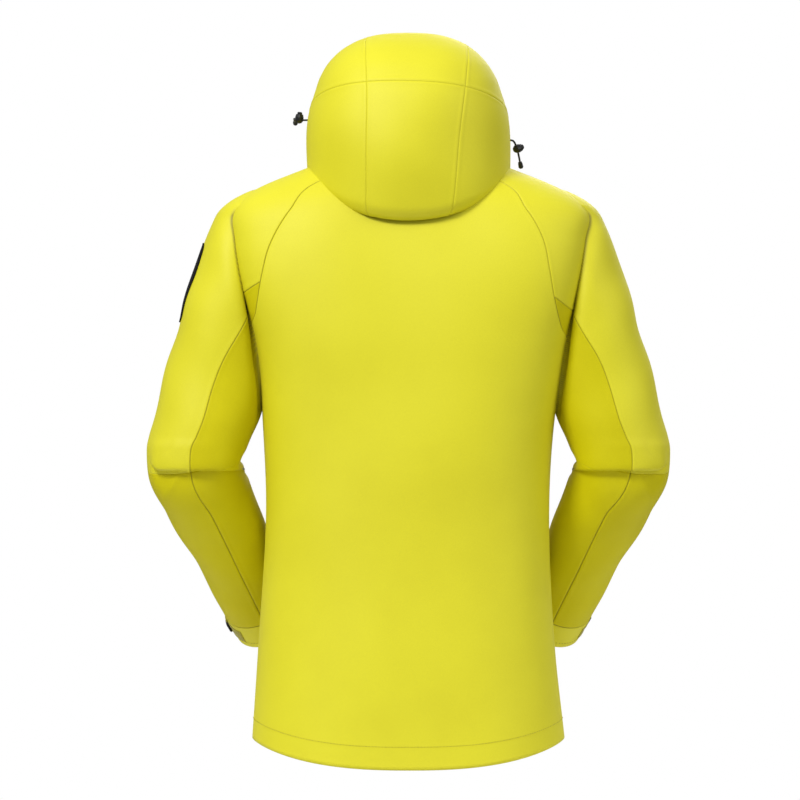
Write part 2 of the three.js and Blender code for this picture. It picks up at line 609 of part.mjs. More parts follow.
for (const [name, points] of Object.entries(CORDS)) {
  const curve = new THREE.CatmullRomCurve3(points);
  const outwards = v(points[0].x, 0, 0).normalize();
  const radius = CORD_DIAMETER / 2;
  const bore = tubeAlong(curve, radius + 1.5 * GAP, 14);
  addPiece(`${name}_hood_cord`, tubeAlong(curve, radius, 14), BLACK, 0.8);

  const eyeletIn = points[0].clone().addScaledVector(outwards, -1.2);
  const eyelet = turned([[2.2, -0.6], [6, -0.6], [6, 1], [4.6, 1.8], [2.2, 1.8], [2.2, -0.6]], 14, outwards, eyeletIn);
  addPiece(`${name}_hood_eyelet`, mainBody(eyelet.subtract(hoodBody(GAP)).subtract(bore)), BLACK, 0.4);

  const at = curve.getPointAt(LOCK_AT[name]);
  const along = curve.getTangentAt(LOCK_AT[name]);
  const press = Z_AXIS.clone().addScaledVector(along, -along.z);
  if (press.length() < 0.3) press.copy(Y_AXIS).addScaledVector(along, -along.y);
  press.normalize();
  const wellRadius = BUTTON_RADIUS + GAP;
  const top = LOCK_RADIUS + 1.2;
  const well = top - BUTTON_TRAVEL - 2.4;
  const body = turned([[0, -LOCK_RADIUS], [3.4, -4.6], [LOCK_RADIUS, -1.4], [LOCK_RADIUS, 3.2], [4.6, top],
    [wellRadius, top], [wellRadius, well], [0, well]], 14, press, at);
  addPiece(`${name}_cord_lock`, mainBody(body.subtract(bore)), BLACK, 0.35);
  const buttonLow = well + BUTTON_TRAVEL + GAP;
  const button = turned([[0, buttonLow], [BUTTON_RADIUS, buttonLow], [BUTTON_RADIUS, top + 2.2], [2.2, top + 3],
    [0, top + 3]], 12, press, at);
  addPiece(`${name}_cord_lock_button`, button, BLACK, 0.35);

  const tip = points.at(-1);
  const endDirection = curve.getTangentAt(1);
  const end = turned([[0, GAP], [2.2, GAP], [3, 3], [3.2, 8], [1.8, 9.6], [0, 9.6]], 10, endDirection, tip);
  addPiece(`${name}_cord_end`, end, BLACK, 0.35);
}

export default part;
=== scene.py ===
"""A hardshell jacket hung by its neck loop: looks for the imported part, in its own frame and in metres."""

import bpy
import numpy as np
from mathutils import Matrix, Vector


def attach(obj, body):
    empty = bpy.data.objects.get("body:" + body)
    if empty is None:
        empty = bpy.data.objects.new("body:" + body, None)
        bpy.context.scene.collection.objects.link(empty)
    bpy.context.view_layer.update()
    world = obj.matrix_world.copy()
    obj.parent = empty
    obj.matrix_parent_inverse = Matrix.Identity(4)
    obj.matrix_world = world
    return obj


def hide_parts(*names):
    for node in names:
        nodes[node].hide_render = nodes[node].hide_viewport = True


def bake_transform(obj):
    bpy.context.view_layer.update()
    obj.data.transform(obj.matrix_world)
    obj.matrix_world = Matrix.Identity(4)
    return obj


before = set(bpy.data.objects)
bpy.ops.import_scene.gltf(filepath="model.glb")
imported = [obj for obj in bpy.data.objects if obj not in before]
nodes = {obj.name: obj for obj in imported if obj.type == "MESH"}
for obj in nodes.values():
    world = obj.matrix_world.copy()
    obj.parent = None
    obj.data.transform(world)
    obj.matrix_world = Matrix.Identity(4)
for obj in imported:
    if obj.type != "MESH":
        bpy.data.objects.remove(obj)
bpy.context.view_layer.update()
SIDES = {"left": 1, "right": -1}

# ---------------------------------------------------------------------------------------------
# Camera. It stands far behind the jacket, level with the middle of its back, so that the whole
# garment is drawn almost without perspective.
CAMERA_DISTANCE = 12.0
VIEW_CENTRE = (0.011, -0.2795)
VIEW_WIDTH = 1.04
SENSOR = 36.0
camera = bpy.data.objects.new("camera", bpy.data.cameras.new("camera"))
bpy.context.scene.collection.objects.link(camera)
camera.location = (VIEW_CENTRE[0], CAMERA_DISTANCE, VIEW_CENTRE[1])
camera.rotation_euler = Vector((0, -1, 0)).to_track_quat("-Z", "Y").to_euler()
camera.data.sensor_width = SENSOR
camera.data.lens = SENSOR * CAMERA_DISTANCE / VIEW_WIDTH
camera.data.clip_start, camera.data.clip_end = 0.1, 60
bpy.context.scene.camera = camera
bpy.context.scene.view_settings.view_transform = "Standard"

# ---------------------------------------------------------------------------------------------
# Hood drawcords: two short ends of 2.6 mm braided polyester cord that come out of eyelets at the
# sides of the face opening and pass through a spring lock to a moulded end.
CORD_DIAMETER = 0.0026
CORD_ROUTES = {
    "left": ((130.9, -22, 87), (137, -23, 87), (143, -26, 88), (148, -33, 89), (150, -43, 89), (149, -54, 86)),
    "right": ((-132.1, -22, 61), (-137.5, -22.5, 59.5), (-141.5, -24, 52), (-144, -25.5, 43), (-146, -27, 33)),
}
LOOP_DEPTH = 66.0  # from the middle of the chest back to the hanger loop, where the frame's origin is


def place(points):
    """Millimetres from the middle of the body to the row frame in metres."""
    return (np.asarray(points, float) - (0, LOOP_DEPTH, 0)) * 0.001


def smooth(table, at):
    """Smooth values between the rows of a table: the first column is the place, the rest are values."""
    rows = np.array(table, float)
    rows = rows[np.argsort(rows[:, 0])]
    x, v = rows[:, 0], rows[:, 1:]
    d = np.diff(v, axis=0) / np.diff(x)[:, None]
    m = np.concatenate([d[:1], (d[:-1] + d[1:]) / 2, d[-1:]])
    q = np.clip(np.asarray(at, float), x[0], x[-1])
    i = np.clip(np.searchsorted(x, q, side="right") - 1, 0, len(x) - 2)
    h = (x[i + 1] - x[i])[..., None]
    t = (q[..., None] - x[i][..., None]) / h
    return (
        v[i] * (2 * t**3 - 3 * t**2 + 1)
        + m[i] * h * (t**3 - 2 * t**2 + t)
        + v[i + 1] * (3 * t**2 - 2 * t**3)
        + m[i + 1] * h * (t**3 - t**2)
    )


def curve_through(points, count):
    """A smooth line of count points through the given ones, evenly spaced."""
    points = np.asarray(points, float)
    steps = np.concatenate([[0], np.cumsum(np.sqrt(np.linalg.norm(np.diff(points, axis=0), axis=1)))])
    fine = smooth(np.column_stack([steps, points]), np.linspace(0, steps[-1], 400))
    return evenly(fine, count)


def evenly(line, count):
    """The same line with count points at equal distances along it."""
    line = np.asarray(line, float)
    run = np.concatenate([[0], np.cumsum(np.linalg.norm(np.diff(line, axis=0), axis=1))])
    at = np.linspace(0, run[-1], count)
    return np.stack([np.interp(at, run, line[:, k]) for k in range(line.shape[1])], axis=-1)


cords = {}
for name, route in CORD_ROUTES.items():
    line = place(curve_through(route, 24))
    data = bpy.data.curves.new(f"{name}_hood_cord_braid", "CURVE")
    data.dimensions = "3D"
    data.bevel_depth = CORD_DIAMETER / 2
    data.bevel_resolution = 5
    data.use_fill_caps = True
    spline = data.splines.new("POLY")
    spline.points.add(len(line) - 1)
    spline.points.foreach_set("co", np.column_stack([line, np.ones(len(line))]).ravel())
    spline.use_smooth = True
    cord = bpy.data.objects.new(f"{name}_hood_cord_braid", data)
    bpy.context.scene.collection.objects.link(cord)
    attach(cord, "hood")
    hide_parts(f"{name}_hood_cord")
    cords[name] = cord

# ---------------------------------------------------------------------------------------------
# Studio: a plain white floor and white surroundings, with one large soft light above the wearer's
# left shoulder, a weaker one on the other side and one for the front.
WHITE, WHITE_FLOOR = (1, 1, 1, 1), (0.85, 0.85, 0.85, 1)
FLOOR_X, FLOOR_Y, FLOOR_Z = 1.0, 0.9, -0.93
ABOVE, BELOW = 0.60, 0.10  # how bright the surroundings are overhead and underfoot
LIT_POINT = Vector((0, 0, -0.25))


def linear(colour):
    """An sRGB hex colour as linear red, green, blue and alpha."""
    parts = [((colour >> shift) & 255) / 255 for shift in (16, 8, 0)]
    return (*[c / 12.92 if c <= 0.04045 else ((c + 0.055) / 1.055) ** 2.4 for c in parts], 1)


def node(tree, kind, links=(), **settings):
    """Adds a shader node. Settings named in_ are set on its sockets, links are (socket, from node, output)."""
    made = tree.nodes.new(kind)
    for key, value in settings.items():
        if key.startswith("in_"):
            socket = key[3:].replace("_", " ")
            made.inputs[int(socket) if socket.isdigit() else socket].default_value = value
        else:
            setattr(made, key, value)
    for socket, source, output in links:
        tree.links.new(source.outputs[output], made.inputs[socket])
    return made


def new_material(name, **inputs):
    material = bpy.data.materials.new(name)
    material.use_nodes = True
    shader = material.node_tree.nodes["Principled BSDF"]
    for key, value in inputs.items():
        shader.inputs[key.replace("_", " ")].default_value = value
    return material, material.node_tree, shader


def colour_ramp(tree, source, output, stops):
    ramp = node(tree, "ShaderNodeValToRGB", [("Fac", source, output)])
    for element, stop in zip(ramp.color_ramp.elements, stops):
        element.position, element.color = stop
    return ramp


def texture(tree, kind, by, **settings):
    """A texture laid out by the object's own place (Object) or along the cloth (UV)."""
    at = node(tree, "ShaderNodeUVMap", uv_map="cloth") if by == "UV" else node(tree, "ShaderNodeTexCoord")
    return node(tree, kind, [("Vector", at, by)], **settings)


def dye(tree, shader, source, output, stops):
    """Colours a surface between two tones by a texture: a stop is a place and an sRGB colour."""
    tone = colour_ramp(tree, source, output, [(at, linear(colour)) for at, colour in stops])
    tree.links.new(tone.outputs["Color"], shader.inputs["Base Color"])


def relief(tree, shader, source, output, strength, distance, over=None):
    """Raises and sinks a surface by a texture, over another relief where one is given."""
    links = [("Height", source, output)] + ([] if over is None else [("Normal", over, "Normal")])
    bump = node(tree, "ShaderNodeBump", links, in_Strength=strength, in_Distance=distance)
    tree.links.new(bump.outputs["Normal"], shader.inputs["Normal"])


world = bpy.data.worlds.new("studio")
bpy.context.scene.world = world
world.use_nodes = True
sky = world.node_tree
lit = sky.nodes["Background"]
lit.inputs["Color"].default_value = WHITE
way_up = node(sky, "ShaderNodeTexCoord")
height = node(sky, "ShaderNodeSeparateXYZ", [("Vector", way_up, "Generated")])
bright = node(
    sky,
    "ShaderNodeMapRange",
    [("Value", height, "Z")],
    in_From_Min=-0.6,
    in_From_Max=0.8,
    in_To_Min=BELOW,
    in_To_Max=ABOVE,
)
sky.links.new(bright.outputs["Result"], lit.inputs["Strength"])
seen = node(sky, "ShaderNodeBackground", in_Color=WHITE)  # the white that is seen behind the jacket
path = node(sky, "ShaderNodeLightPath")
shown = [("Fac", path, "Is Camera Ray"), (1, lit, "Background"), (2, seen, "Background")]
either = node(sky, "ShaderNodeMixShader", shown)
sky.links.new(either.outputs["Shader"], sky.nodes["World Output"].inputs["Surface"])
floor_mesh = bpy.data.meshes.new("floor")
corners = [(x * FLOOR_X, y * FLOOR_Y, FLOOR_Z) for x, y in ((-1, -1), (1, -1), (1, 1), (-1, 1))]
floor_mesh.from_pydata(corners, [], [(0, 1, 2, 3)])
floor = bpy.data.objects.new("floor", floor_mesh)
bpy.context.scene.collection.objects.link(floor)
floor_mesh.materials.append(new_material("matt_white_floor_paint", Base_Color=WHITE_FLOOR, Roughness=0.9)[0])
for light_name, spot, size, power in (
    ("key", (1.5, 2.1, 1.9), 0.9, 74),
    ("fill", (-2.3, 1.5, 1.2), 1.8, 17),
    ("front", (-0.8, -2.6, 1.2), 1.8, 30),
):
    lamp = bpy.data.lights.new(light_name, "AREA")
    lamp.size, lamp.energy = size, power
    light = bpy.data.objects.new(light_name, lamp)
    light.location = spot
    light.rotation_euler = (LIT_POINT - Vector(spot)).to_track_quat("-Z", "Y").to_euler()
    bpy.context.scene.collection.objects.link(light)

# ---------------------------------------------------------------------------------------------
# Face fabric: a three-layer laminate with a fine twill face in bright yellow nylon, matt and
# slightly dry to the eye, with a grey knitted backer inside. It is cut in panels and taped.
FABRIC_THICK = 0.0009
FACE_YELLOW = 0xEAE320
FACE_MOTTLE = 0xE4DC1B
# A darker, less glossy copy of the face fabric's colours: painted shade, for cloth that turns away from the
# light on the underarms and forearms, also used on the storm flap and chin guard
SHADED_TWILL_YELLOW = 0xDBD10A
SHADED_TWILL_MOTTLE = 0xD3C806
# the darker olive of the seam lines, also used as painted shade along the crease between sleeve and body
SEAM_AND_CREASE_SHADE_OLIVE = 0xA59C26
BACKER_GREY, BACKER_SHADE = 0x9A9C98, 0x86888A
TWILL_PITCH = 0.0022  # the real twill is 0.5 mm: drawn coarser so that it shows
TWILL_TURN = 0.96


def woven_twill(name, light, dark, seam, gloss):
    """Woven nylon twill: soft mottling from the dye, a fine diagonal rib, a darker line in each seam, and
    painted shade along the sleeve-body crease.
    """
    material, tree, shader = new_material(
        name,
        Roughness=0.6,
        Sheen_Weight=0.05,
        Sheen_Roughness=0.5,
        Sheen_Tint=linear(light),
        Specular_IOR_Level=gloss,
    )
    patches = texture(tree, "ShaderNodeTexNoise", "Object", in_Scale=7.0, in_Detail=3.0)
    tone = colour_ramp(tree, patches, "Fac", ((0.3, linear(dark)), (0.62, linear(light))))
    fine = texture(tree, "ShaderNodeTexNoise", "Object", in_Scale=900.0, in_Detail=2.0)
    grain = colour_ramp(tree, fine, "Fac", ((0.25, (0.93, 0.93, 0.93, 1)), (0.75, WHITE)))
    dyed = node(
        tree,
        "ShaderNodeMix",
        [(6, tone, "Color"), (7, grain, "Color")],
        data_type="RGBA",
        blend_type="MULTIPLY",
        in_Factor=1.0,
    )
    # the seam attribute holds the seam lines and the painted shade along the sleeve-body crease; both take the
    # darker olive
    mark = node(tree, "ShaderNodeAttribute", attribute_name="seam")
    mixed = [(0, mark, "Fac"), (6, dyed, 2)]
    shaded = node(tree, "ShaderNodeMix", mixed, data_type="RGBA", in_7=linear(seam))
    tree.links.new(shaded.outputs[2], shader.inputs["Base Color"])
    cloth = node(tree, "ShaderNodeUVMap", uv_map="cloth")
    turned = node(tree, "ShaderNodeMapping", [("Vector", cloth, "UV")], in_Rotation=(0, 0, TWILL_TURN))
    rib = node(
        tree,
        "ShaderNodeTexWave",
        [("Vector", turned, "Vector")],
        wave_profile="TRI",
        in_Scale=2 / (20 * TWILL_PITCH),
        in_Distortion=0.6,
        in_Detail_Scale=40.0,
    )
    bump_rib = node(tree, "ShaderNodeBump", [("Height", rib, "Fac")], in_Strength=0.10, in_Distance=0.0003)
    relief(tree, shader, fine, "Fac", 0.12, 0.0003, over=bump_rib)
    return material


def knitted_backer():
    """Tricot backer: a fine grey knit of short ribs, matt and soft."""
    material, tree, shader = new_material("grey_tricot_backer", Roughness=0.9, Sheen_Weight=0.2)
    ribs = texture(tree, "ShaderNodeTexWave", "UV", in_Scale=120.0, in_Distortion=1.5)
    dye(tree, shader, ribs, "Fac", ((0.1, BACKER_SHADE), (0.9, BACKER_GREY)))
    relief(tree, shader, ribs, "Fac", 0.2, 0.0004)
    return material


face_fabric = woven_twill("yellow_nylon_twill", FACE_YELLOW, FACE_MOTTLE, SEAM_AND_CREASE_SHADE_OLIVE, 0.5)
shade_fabric = woven_twill("yellow_nylon_twill_painted_shade", SHADED_TWILL_YELLOW, SHADED_TWILL_MOTTLE, SEAM_AND_CREASE_SHADE_OLIVE, 0.2)
backer = knitted_backer()


def grid_size(grid):
    """Greatest width and length of a grid of points, and its area, in metres and square metres."""
    across = np.linalg.norm(np.diff(grid, axis=1), axis=2).sum(1).max()
    along = np.linalg.norm(np.diff(grid, axis=0), axis=2).sum(0).max()
    a, b = grid[1:, 1:] - grid[:-1, :-1], grid[1:, :-1] - grid[:-1, 1:]
    area = np.linalg.norm(np.cross(a, b), axis=2).sum() / 2
    return across / 1000, along / 1000, area / 1e6


SEAM_STEPS = (0.7, 1.5, 2.6)  # extra rows of points this far from each seam, so that it is drawn thin
SEAM_WIDE = 1.1  # the darker line, on each side of the seam
ALLOWANCE_HIGH, ALLOWANCE_AT, ALLOWANCE_WIDE = 0.5, 3.0, 2.2  # the layers that lie under the seam's edge
LEAST_CUT = 0.011  # a sheet's sides are given as at least this long, in metres


def finer(grid, which):
    """The grid with extra rows and columns of points just inside the edges that are named."""
    for letters, axis in (("ud", 0), ("lr", 1)):
        g = np.moveaxis(grid, axis, 0)
        for letter in letters:
            if letter not in which:
                continue
            if letter in "dr":
                g = g[::-1]
            step = g[1] - g[0]
            long = np.maximum(np.linalg.norm(step, axis=-1, keepdims=True), 1e-6)
            share = [np.minimum(d / long, (k + 1) * 0.24) for k, d in enumerate(SEAM_STEPS)]
            g = np.concatenate([g[:1], *[(g[0] + step * f)[None] for f in share], g[1:]])
            if letter in "dr":
                g = g[::-1]
        grid = np.moveaxis(g, 0, axis)
    return grid


def panel(
    name,
    grids,
    centre,
    keep=(),
    edges="udlr",
    fabric=None,
    thick=FABRIC_THICK,
    sink=0.7,
    back=None,
    faint=1.0,
    crease_shade=None,
):
    """A piece of cloth from grids of points in millimetres, facing away from centre. The rows and
    columns at the edges that are named (up, down, left, right) sink into the seam."""
    points, faces, uvs, marks = [], [], [], []
    base, size = 0, [0, 0, 0]
    for k, grid in enumerate(grids):
        which = edges[k] if isinstance(edges, (list, tuple)) else edges
        grid = finer(grid, which)
        rows, cols = grid.shape[:2]
        d_row = np.gradient(grid, axis=0)
        d_col = np.gradient(grid, axis=1)
        normal = np.cross(d_row, d_col)
        normal /= np.maximum(np.linalg.norm(normal, axis=2, keepdims=True), 1e-9)
        inside = (centre[k] if isinstance(centre, (list, tuple)) else centre)(grid)
        facing = np.sum(normal * (grid - inside), axis=2).mean() > 0
        if not facing:
            normal = -normal
        steps_across = np.linalg.norm(np.diff(grid, axis=1), axis=2)
        steps_along = np.linalg.norm(np.diff(grid, axis=0), axis=2)
        across = np.concatenate([np.zeros((rows, 1)), np.cumsum(steps_across, 1)], 1)
        along = np.concatenate([np.zeros((1, cols)), np.cumsum(steps_along, 0)], 0)
        gap = np.full((rows, cols), 1e9)
        far = {"l": across, "r": across[:, -1:] - across, "u": along, "d": along[-1:] - along}
        for letter, distance in far.items():
            if letter in which:
                gap = np.minimum(gap, distance)
        seam = np.clip(1 - gap / SEAM_WIDE, 0, 1)
        raised = ALLOWANCE_HIGH * np.exp(-(((gap - ALLOWANCE_AT) / ALLOWANCE_WIDE) ** 2))
        grid = grid + normal * (raised - sink * seam)[..., None]
        w, l, area = grid_size(grid)
        size = [max(size[0], w), max(size[1], l), size[2] + area]
        i = np.arange(rows * cols).reshape(rows, cols) + base
        quads = np.stack([i[:-1, :-1], i[1:, :-1], i[1:, 1:], i[:-1, 1:]], axis=-1)
        if not facing:
            quads = quads[..., ::-1]
        mask = np.ones((rows - 1, cols - 1), bool)
        if len(keep) > k and keep[k] is not None:
            hold = keep[k](grid)
            mask = hold[:-1, :-1] | hold[1:, :-1] | hold[1:, 1:] | hold[:-1, 1:]
        faces.append(quads[mask])
        points.append(grid.reshape(-1, 3))
        uvs.append(np.stack([across, along], -1).reshape(-1, 2) / 1000)
        mark = faint * seam
        # painted shade: where it is given, the crease between sleeve and body is darkened through the same
        # seam attribute
        if crease_shade and crease_shade[k]:
            mark = np.maximum(mark, crease_shade[k](grid))
        marks.append(mark.reshape(-1))
        base += rows * cols
    points, faces = np.concatenate(points), np.concatenate(faces)
    uvs, marks = np.concatenate(uvs), np.concatenate(marks)
    used, faces = np.unique(faces, return_inverse=True)
    faces = faces.reshape(-1, 4)
    mesh = bpy.data.meshes.new(name)
    mesh.from_pydata(place(points[used]).tolist(), [], faces.tolist())
    layer = mesh.uv_layers.new(name="cloth")
    layer.data.foreach_set("uv", uvs[used][faces.ravel()].astype(np.float32).ravel())
    mark = mesh.attributes.new("seam", "FLOAT", "POINT")
    mark.data.foreach_set("value", marks[used].astype(np.float32))
    mesh.shade_smooth()
    obj = bpy.data.objects.new(name, mesh)
    bpy.context.scene.collection.objects.link(obj)
    mesh.materials.append(fabric or face_fabric)
    mesh.materials.append(back or backer)
    wall = obj.modifiers.new("cloth thickness", "SOLIDIFY")
    wall.thickness, wall.offset, wall.material_offset = thick, -1, 1
    wall.use_rim = True
    wall.material_offset_rim = 0
    obj["cut"] = [max(size[0], LEAST_CUT), max(size[1], LEAST_CUT), size[2]]
    return obj


def sew(obj, body, replaced, blend=None):
    """Puts a panel on its body, or fixes it in place where blend is given, and hides the parts it stands for.
    """
    width, length, area = obj["cut"]
    del obj["cut"]
    if blend:
        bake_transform(obj)
    else:
        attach(obj, body)
    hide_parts(*replaced)
    area = min(max(area, 0.31 * width * length), width * length)  # masked parts of a grid count in it


def across(top, bottom, left, right, rows, cols):
    """Fills the space between four lines with a grid: top and bottom run left to right, the others down."""
    v = np.linspace(0, 1, rows)[:, None, None]
    u = np.linspace(0, 1, cols)[None, :, None]
    top, bottom = top[None], bottom[None]
    left, right = left[:, None], right[:, None]
    corners = (1 - u) * (1 - v) * top[:, :1] + u * (1 - v) * top[:, -1:]
    corners = corners + (1 - u) * v * bottom[:, :1] + u * v * bottom[:, -1:]
    return (1 - v) * top + v * bottom + (1 - u) * left + u * right - corners


# ---------------------------------------------------------------------------------------------
# Body: one back panel and two front panels, cut in one length from neck to hem. Level by level
# the body is a rounded box: half width on each side, depth of the back, and how square it is.
HEM = -720.0
BODY_LEVELS = (
    (60, 56, 56, 40, 0, 2.5),
    (48, 70, 70, 50, 0, 2.5),
    (22, 137, 137, 68, 0, 2.5),
    (0, 191, 191, 84, 0, 2.6),
    (-18, 221, 223, 94, 0, 2.9),
    (-36, 232, 237, 101, 0, 3.3),
    (-71, 231, 235, 111.5, 0, 3.8),
    (-110, 225, 229, 119.5, 0, 4.1),
    (-143, 217, 222, 124, 0, 4.1),
    (-201, 201, 208, 130, 0, 3.6),
    (-250, 194, 200, 132.5, 0, 3.1),
    (-305, 190.5, 191, 135, 0, 2.8),
    (-422, 186, 184, 137, 0, 2.6),
    (-598, 196, 191, 144.5, 0.5, 2.5),
    (HEM, 204, 204, 150, 1, 2.5),
)
HEM_DROP_BACK, HEM_DROP_FRONT = 38.0, 14.0
FRONT_TOP, FRONT_SLOPE, COLLAR_TOP = 84.0, 0.0844, 52.0


def body_shape(level):
    left, right, back, share, square = np.moveaxis(smooth(BODY_LEVELS, level), -1, 0)
    front = FRONT_TOP + (COLLAR_TOP - (level - HEM_DROP_FRONT * share)) * FRONT_SLOPE
    return left, right, back, front, share, square


def body_at(turn, level):
    """The point of the body at an angle from the wearer's left towards the back, at a level."""
    turn, level = np.broadcast_arrays(np.asarray(turn, float), np.asarray(level, float))
    left, right, back, front, share, square = body_shape(level)
    c, s = np.cos(turn), np.sin(turn)
    power = 2 / square
    x = np.where(c > 0, left, right) * np.sign(c) * np.abs(c) ** power
    y = np.where(s > 0, back, front) * np.sign(s) * np.abs(s) ** power
    drop = np.where(s > 0, HEM_DROP_BACK, HEM_DROP_FRONT) * np.abs(s) ** 1.6 * share
    # soft folds in the back
    fold = 1.2 * np.sin(x / 37 + level / 90) + 0.9 * np.sin(x / 21 - level / 57 + 1.3)
    fold = fold + 0.8 * np.sin(level / 34 + x / 80)
    y = y + fold * (np.clip((60 - level) / 120, 0, 1) * np.clip(s * 1.5, 0, 1))
    return np.stack([x, y, level - drop], -1)


def turn_at(x, level, back=True):
    """The angle at which the body is x wide at a level."""
    left, right, _, _, _, square = body_shape(np.asarray(level, float))
    share = np.clip(np.abs(x) / np.where(x > 0, left, right), 0, 1) ** (square / 2)
    turn = np.arccos(np.where(x > 0, share, -share))
    return turn if back else -turn


def body_value(points):
    """1 on the body's surface, less inside."""
    x, y, z = np.moveaxis(points, -1, 0)
    left, right, back, front, _, square = body_shape(z)
    wide = (np.abs(x) / np.where(x > 0, left, right)) ** square
    return wide + (np.abs(y) / np.where(y > 0, back, front)) ** square


def level_on_body(x, y):
    """The level at which a body point stands over x, y, near the neck."""
    low, high = np.full(np.shape(x), -75.0), np.full(np.shape(x), 55.0)
    for _ in range(40):
        middle = (low + high) / 2
        outside = body_value(np.stack([x, y, middle], -1)) > 1
        high, low = np.where(outside, middle, high), np.where(outside, low, middle)
    return (low + high) / 2


COLLAR_HALF, COLLAR_BACK, COLLAR_FRONT = 84.0, 76.0, 92.8
SIDE_SEAM = -0.06
RAGLAN = {
    1: ((22, 92), (3, 120), (-33, 154), (-78, 180), (-117, 190.5), (-146, 195.5), (-175, 199.3), (-205, 199)),
    -1: (
        (22, 92),
        (3, 123),
        (-33, 151),
        (-71, 172),
        (-110, 180),
        (-146, 185),
        (-175, 190),
        (-205, 197),
        (-225, 199),
    ),
}
NECK_BACK, NECK_FRONT = 0.95, -0.62  # where the raglan seams reach the neck, as angles round the collar


def neck_line(start, end, count):
    """The line where the collar is sewn on, in body angle and level, between two angles round the collar."""
    a = np.linspace(start, end, count)
    c, s = np.cos(a), np.sin(a)
    x = COLLAR_HALF * np.sign(c) * np.abs(c) ** 0.9
    y = np.where(s > 0, COLLAR_BACK, COLLAR_FRONT) * np.sign(s) * np.abs(s) ** 0.9
    level = level_on_body(x, y)
    left, right, back, front, _, square = body_shape(level)
    turn = np.arctan2(
        np.sign(y) * (np.abs(y) / np.where(y > 0, back, front)) ** (square / 2),
        np.sign(x) * (np.abs(x) / np.where(x > 0, left, right)) ** (square / 2),
    )
    turn = np.where((turn < -np.pi / 2 - 1e-9) & (start > np.pi / 2), turn + 2 * np.pi, turn)
    return np.stack([turn, level], -1)


def raglan_line(side, back, count):
    """The raglan seam from the neck down, then the side seam: body angle and level."""
    neck_end = NECK_BACK if back else NECK_FRONT
    corner = neck_line(neck_end, neck_end, 1)[0]
    levels = np.linspace(corner[1], HEM, 1200)
    table = [(z, x) for z, x in RAGLAN[side] if z < corner[1] - 12]
    top = body_at(corner[0], corner[1])[0]
    table = [(corner[1], top), *table, (HEM, 199)]
    x = smooth(table, levels)[..., 0]
    seam = turn_at(x, levels)
    end = RAGLAN[side][-1][0]
    fade = np.clip((levels - end) / 40, 0, 1)
    fade = fade * fade * (3 - 2 * fade)
    side_turn = SIDE_SEAM * (1 if back else -1)
    seam = np.where(levels > end, seam * fade + side_turn * (1 - fade), side_turn)
    seam = seam if side > 0 else np.pi - seam
    if not back:
        seam = -seam
    line = np.stack([seam, levels], -1)
    run = np.linalg.norm(np.diff(body_at(line[:, 0], line[:, 1]), axis=0), axis=1)
    run = np.concatenate([[0], np.cumsum(run)])
    at = np.linspace(0, run[-1], count)
    return np.stack([np.interp(at, run, line[:, k]) for k in range(2)], -1)


def along_axis(grid):
    """For the body and sleeves: what the cloth faces away from is the middle at the same height."""
    return grid * (0, 0, 1)


def body_patch(top, bottom, left, right, cols, dense):
    """A grid on the body between four lines of angle and level, with its columns evenly spaced.
    Dense says where the angle runs through the flat of the body: at the start or in the middle."""
    t = np.linspace(0, 1, 401)
    f = t**2.5 if dense == "start" else 0.5 + 0.5 * np.sign(2 * t - 1) * np.abs(2 * t - 1) ** 2.5

    def bulge(line):
        share = (line[:, 0] - line[0, 0]) / (line[-1, 0] - line[0, 0])
        level = np.interp(f, share, line[:, 1])
        return level - (level[0] + (level[-1] - level[0]) * f)

    v = np.linspace(0, 1, len(left))[:, None]
    turn = left[:, :1] + (right[:, :1] - left[:, :1]) * f
    level = left[:, 1:] + (right[:, 1:] - left[:, 1:]) * f
    level = level + (1 - v) ** 1.5 * bulge(top) + v**1.5 * bulge(bottom)
    run = np.cumsum(np.linalg.norm(np.diff(body_at(turn, level), axis=1, prepend=0), axis=2), 1)
    rows = []
    for k in range(len(left)):
        step = run[k] - run[k, 0]
        at = np.linspace(0, step[-1], cols)
        rows.append(body_at(np.interp(at, step, turn[k]), np.interp(at, step, level[k])))
    return np.stack(rows)


BODY_ROWS = 200
left_back = raglan_line(1, True, BODY_ROWS)
right_back = raglan_line(-1, True, BODY_ROWS)
neck_back = neck_line(np.pi - NECK_BACK, NECK_BACK, 110)
hem_back = np.stack([np.linspace(right_back[-1, 0], left_back[-1, 0], 110), np.full(110, HEM)], -1)
back_grid = body_patch(neck_back, hem_back, right_back, left_back, 110, "middle")
back_panel = panel("back_panel_cloth", [back_grid], along_axis, edges="ulr", faint=0.6)
sew(back_panel, "shell", ["back_panel"])

ZIP_EDGE = 10.3
for name, side in SIDES.items():
    outer = raglan_line(side, False, BODY_ROWS)
    end = neck_line(-np.pi / 2, -np.pi / 2, 1)[0, 1]
    levels = np.linspace(end, HEM, BODY_ROWS)
    inner_turn = turn_at(np.full(BODY_ROWS, side * ZIP_EDGE), levels, back=False)
    inner = np.stack([inner_turn, levels], -1)
    a_zip = np.arccos((ZIP_EDGE / COLLAR_HALF) ** (1 / 0.9))
    start, stop = (-a_zip, NECK_FRONT) if side > 0 else (-np.pi + a_zip, -np.pi - NECK_FRONT)
    top = neck_line(start, stop, 56)
    inner = inner + (top[0] - inner[0]) * np.clip(1 - np.linspace(0, 12, BODY_ROWS), 0, 1)[:, None]
    bottom = np.stack([np.linspace(inner[-1, 0], outer[-1, 0], 56), np.full(56, HEM)], -1)
    top[-1] = outer[0]
    grid = body_patch(top, bottom, inner, outer, 56, "start")
    front = panel(f"{name}_front_cloth", [grid], along_axis, edges="ulr")
    sew(front, "shell", [f"{name}_front_panel"])

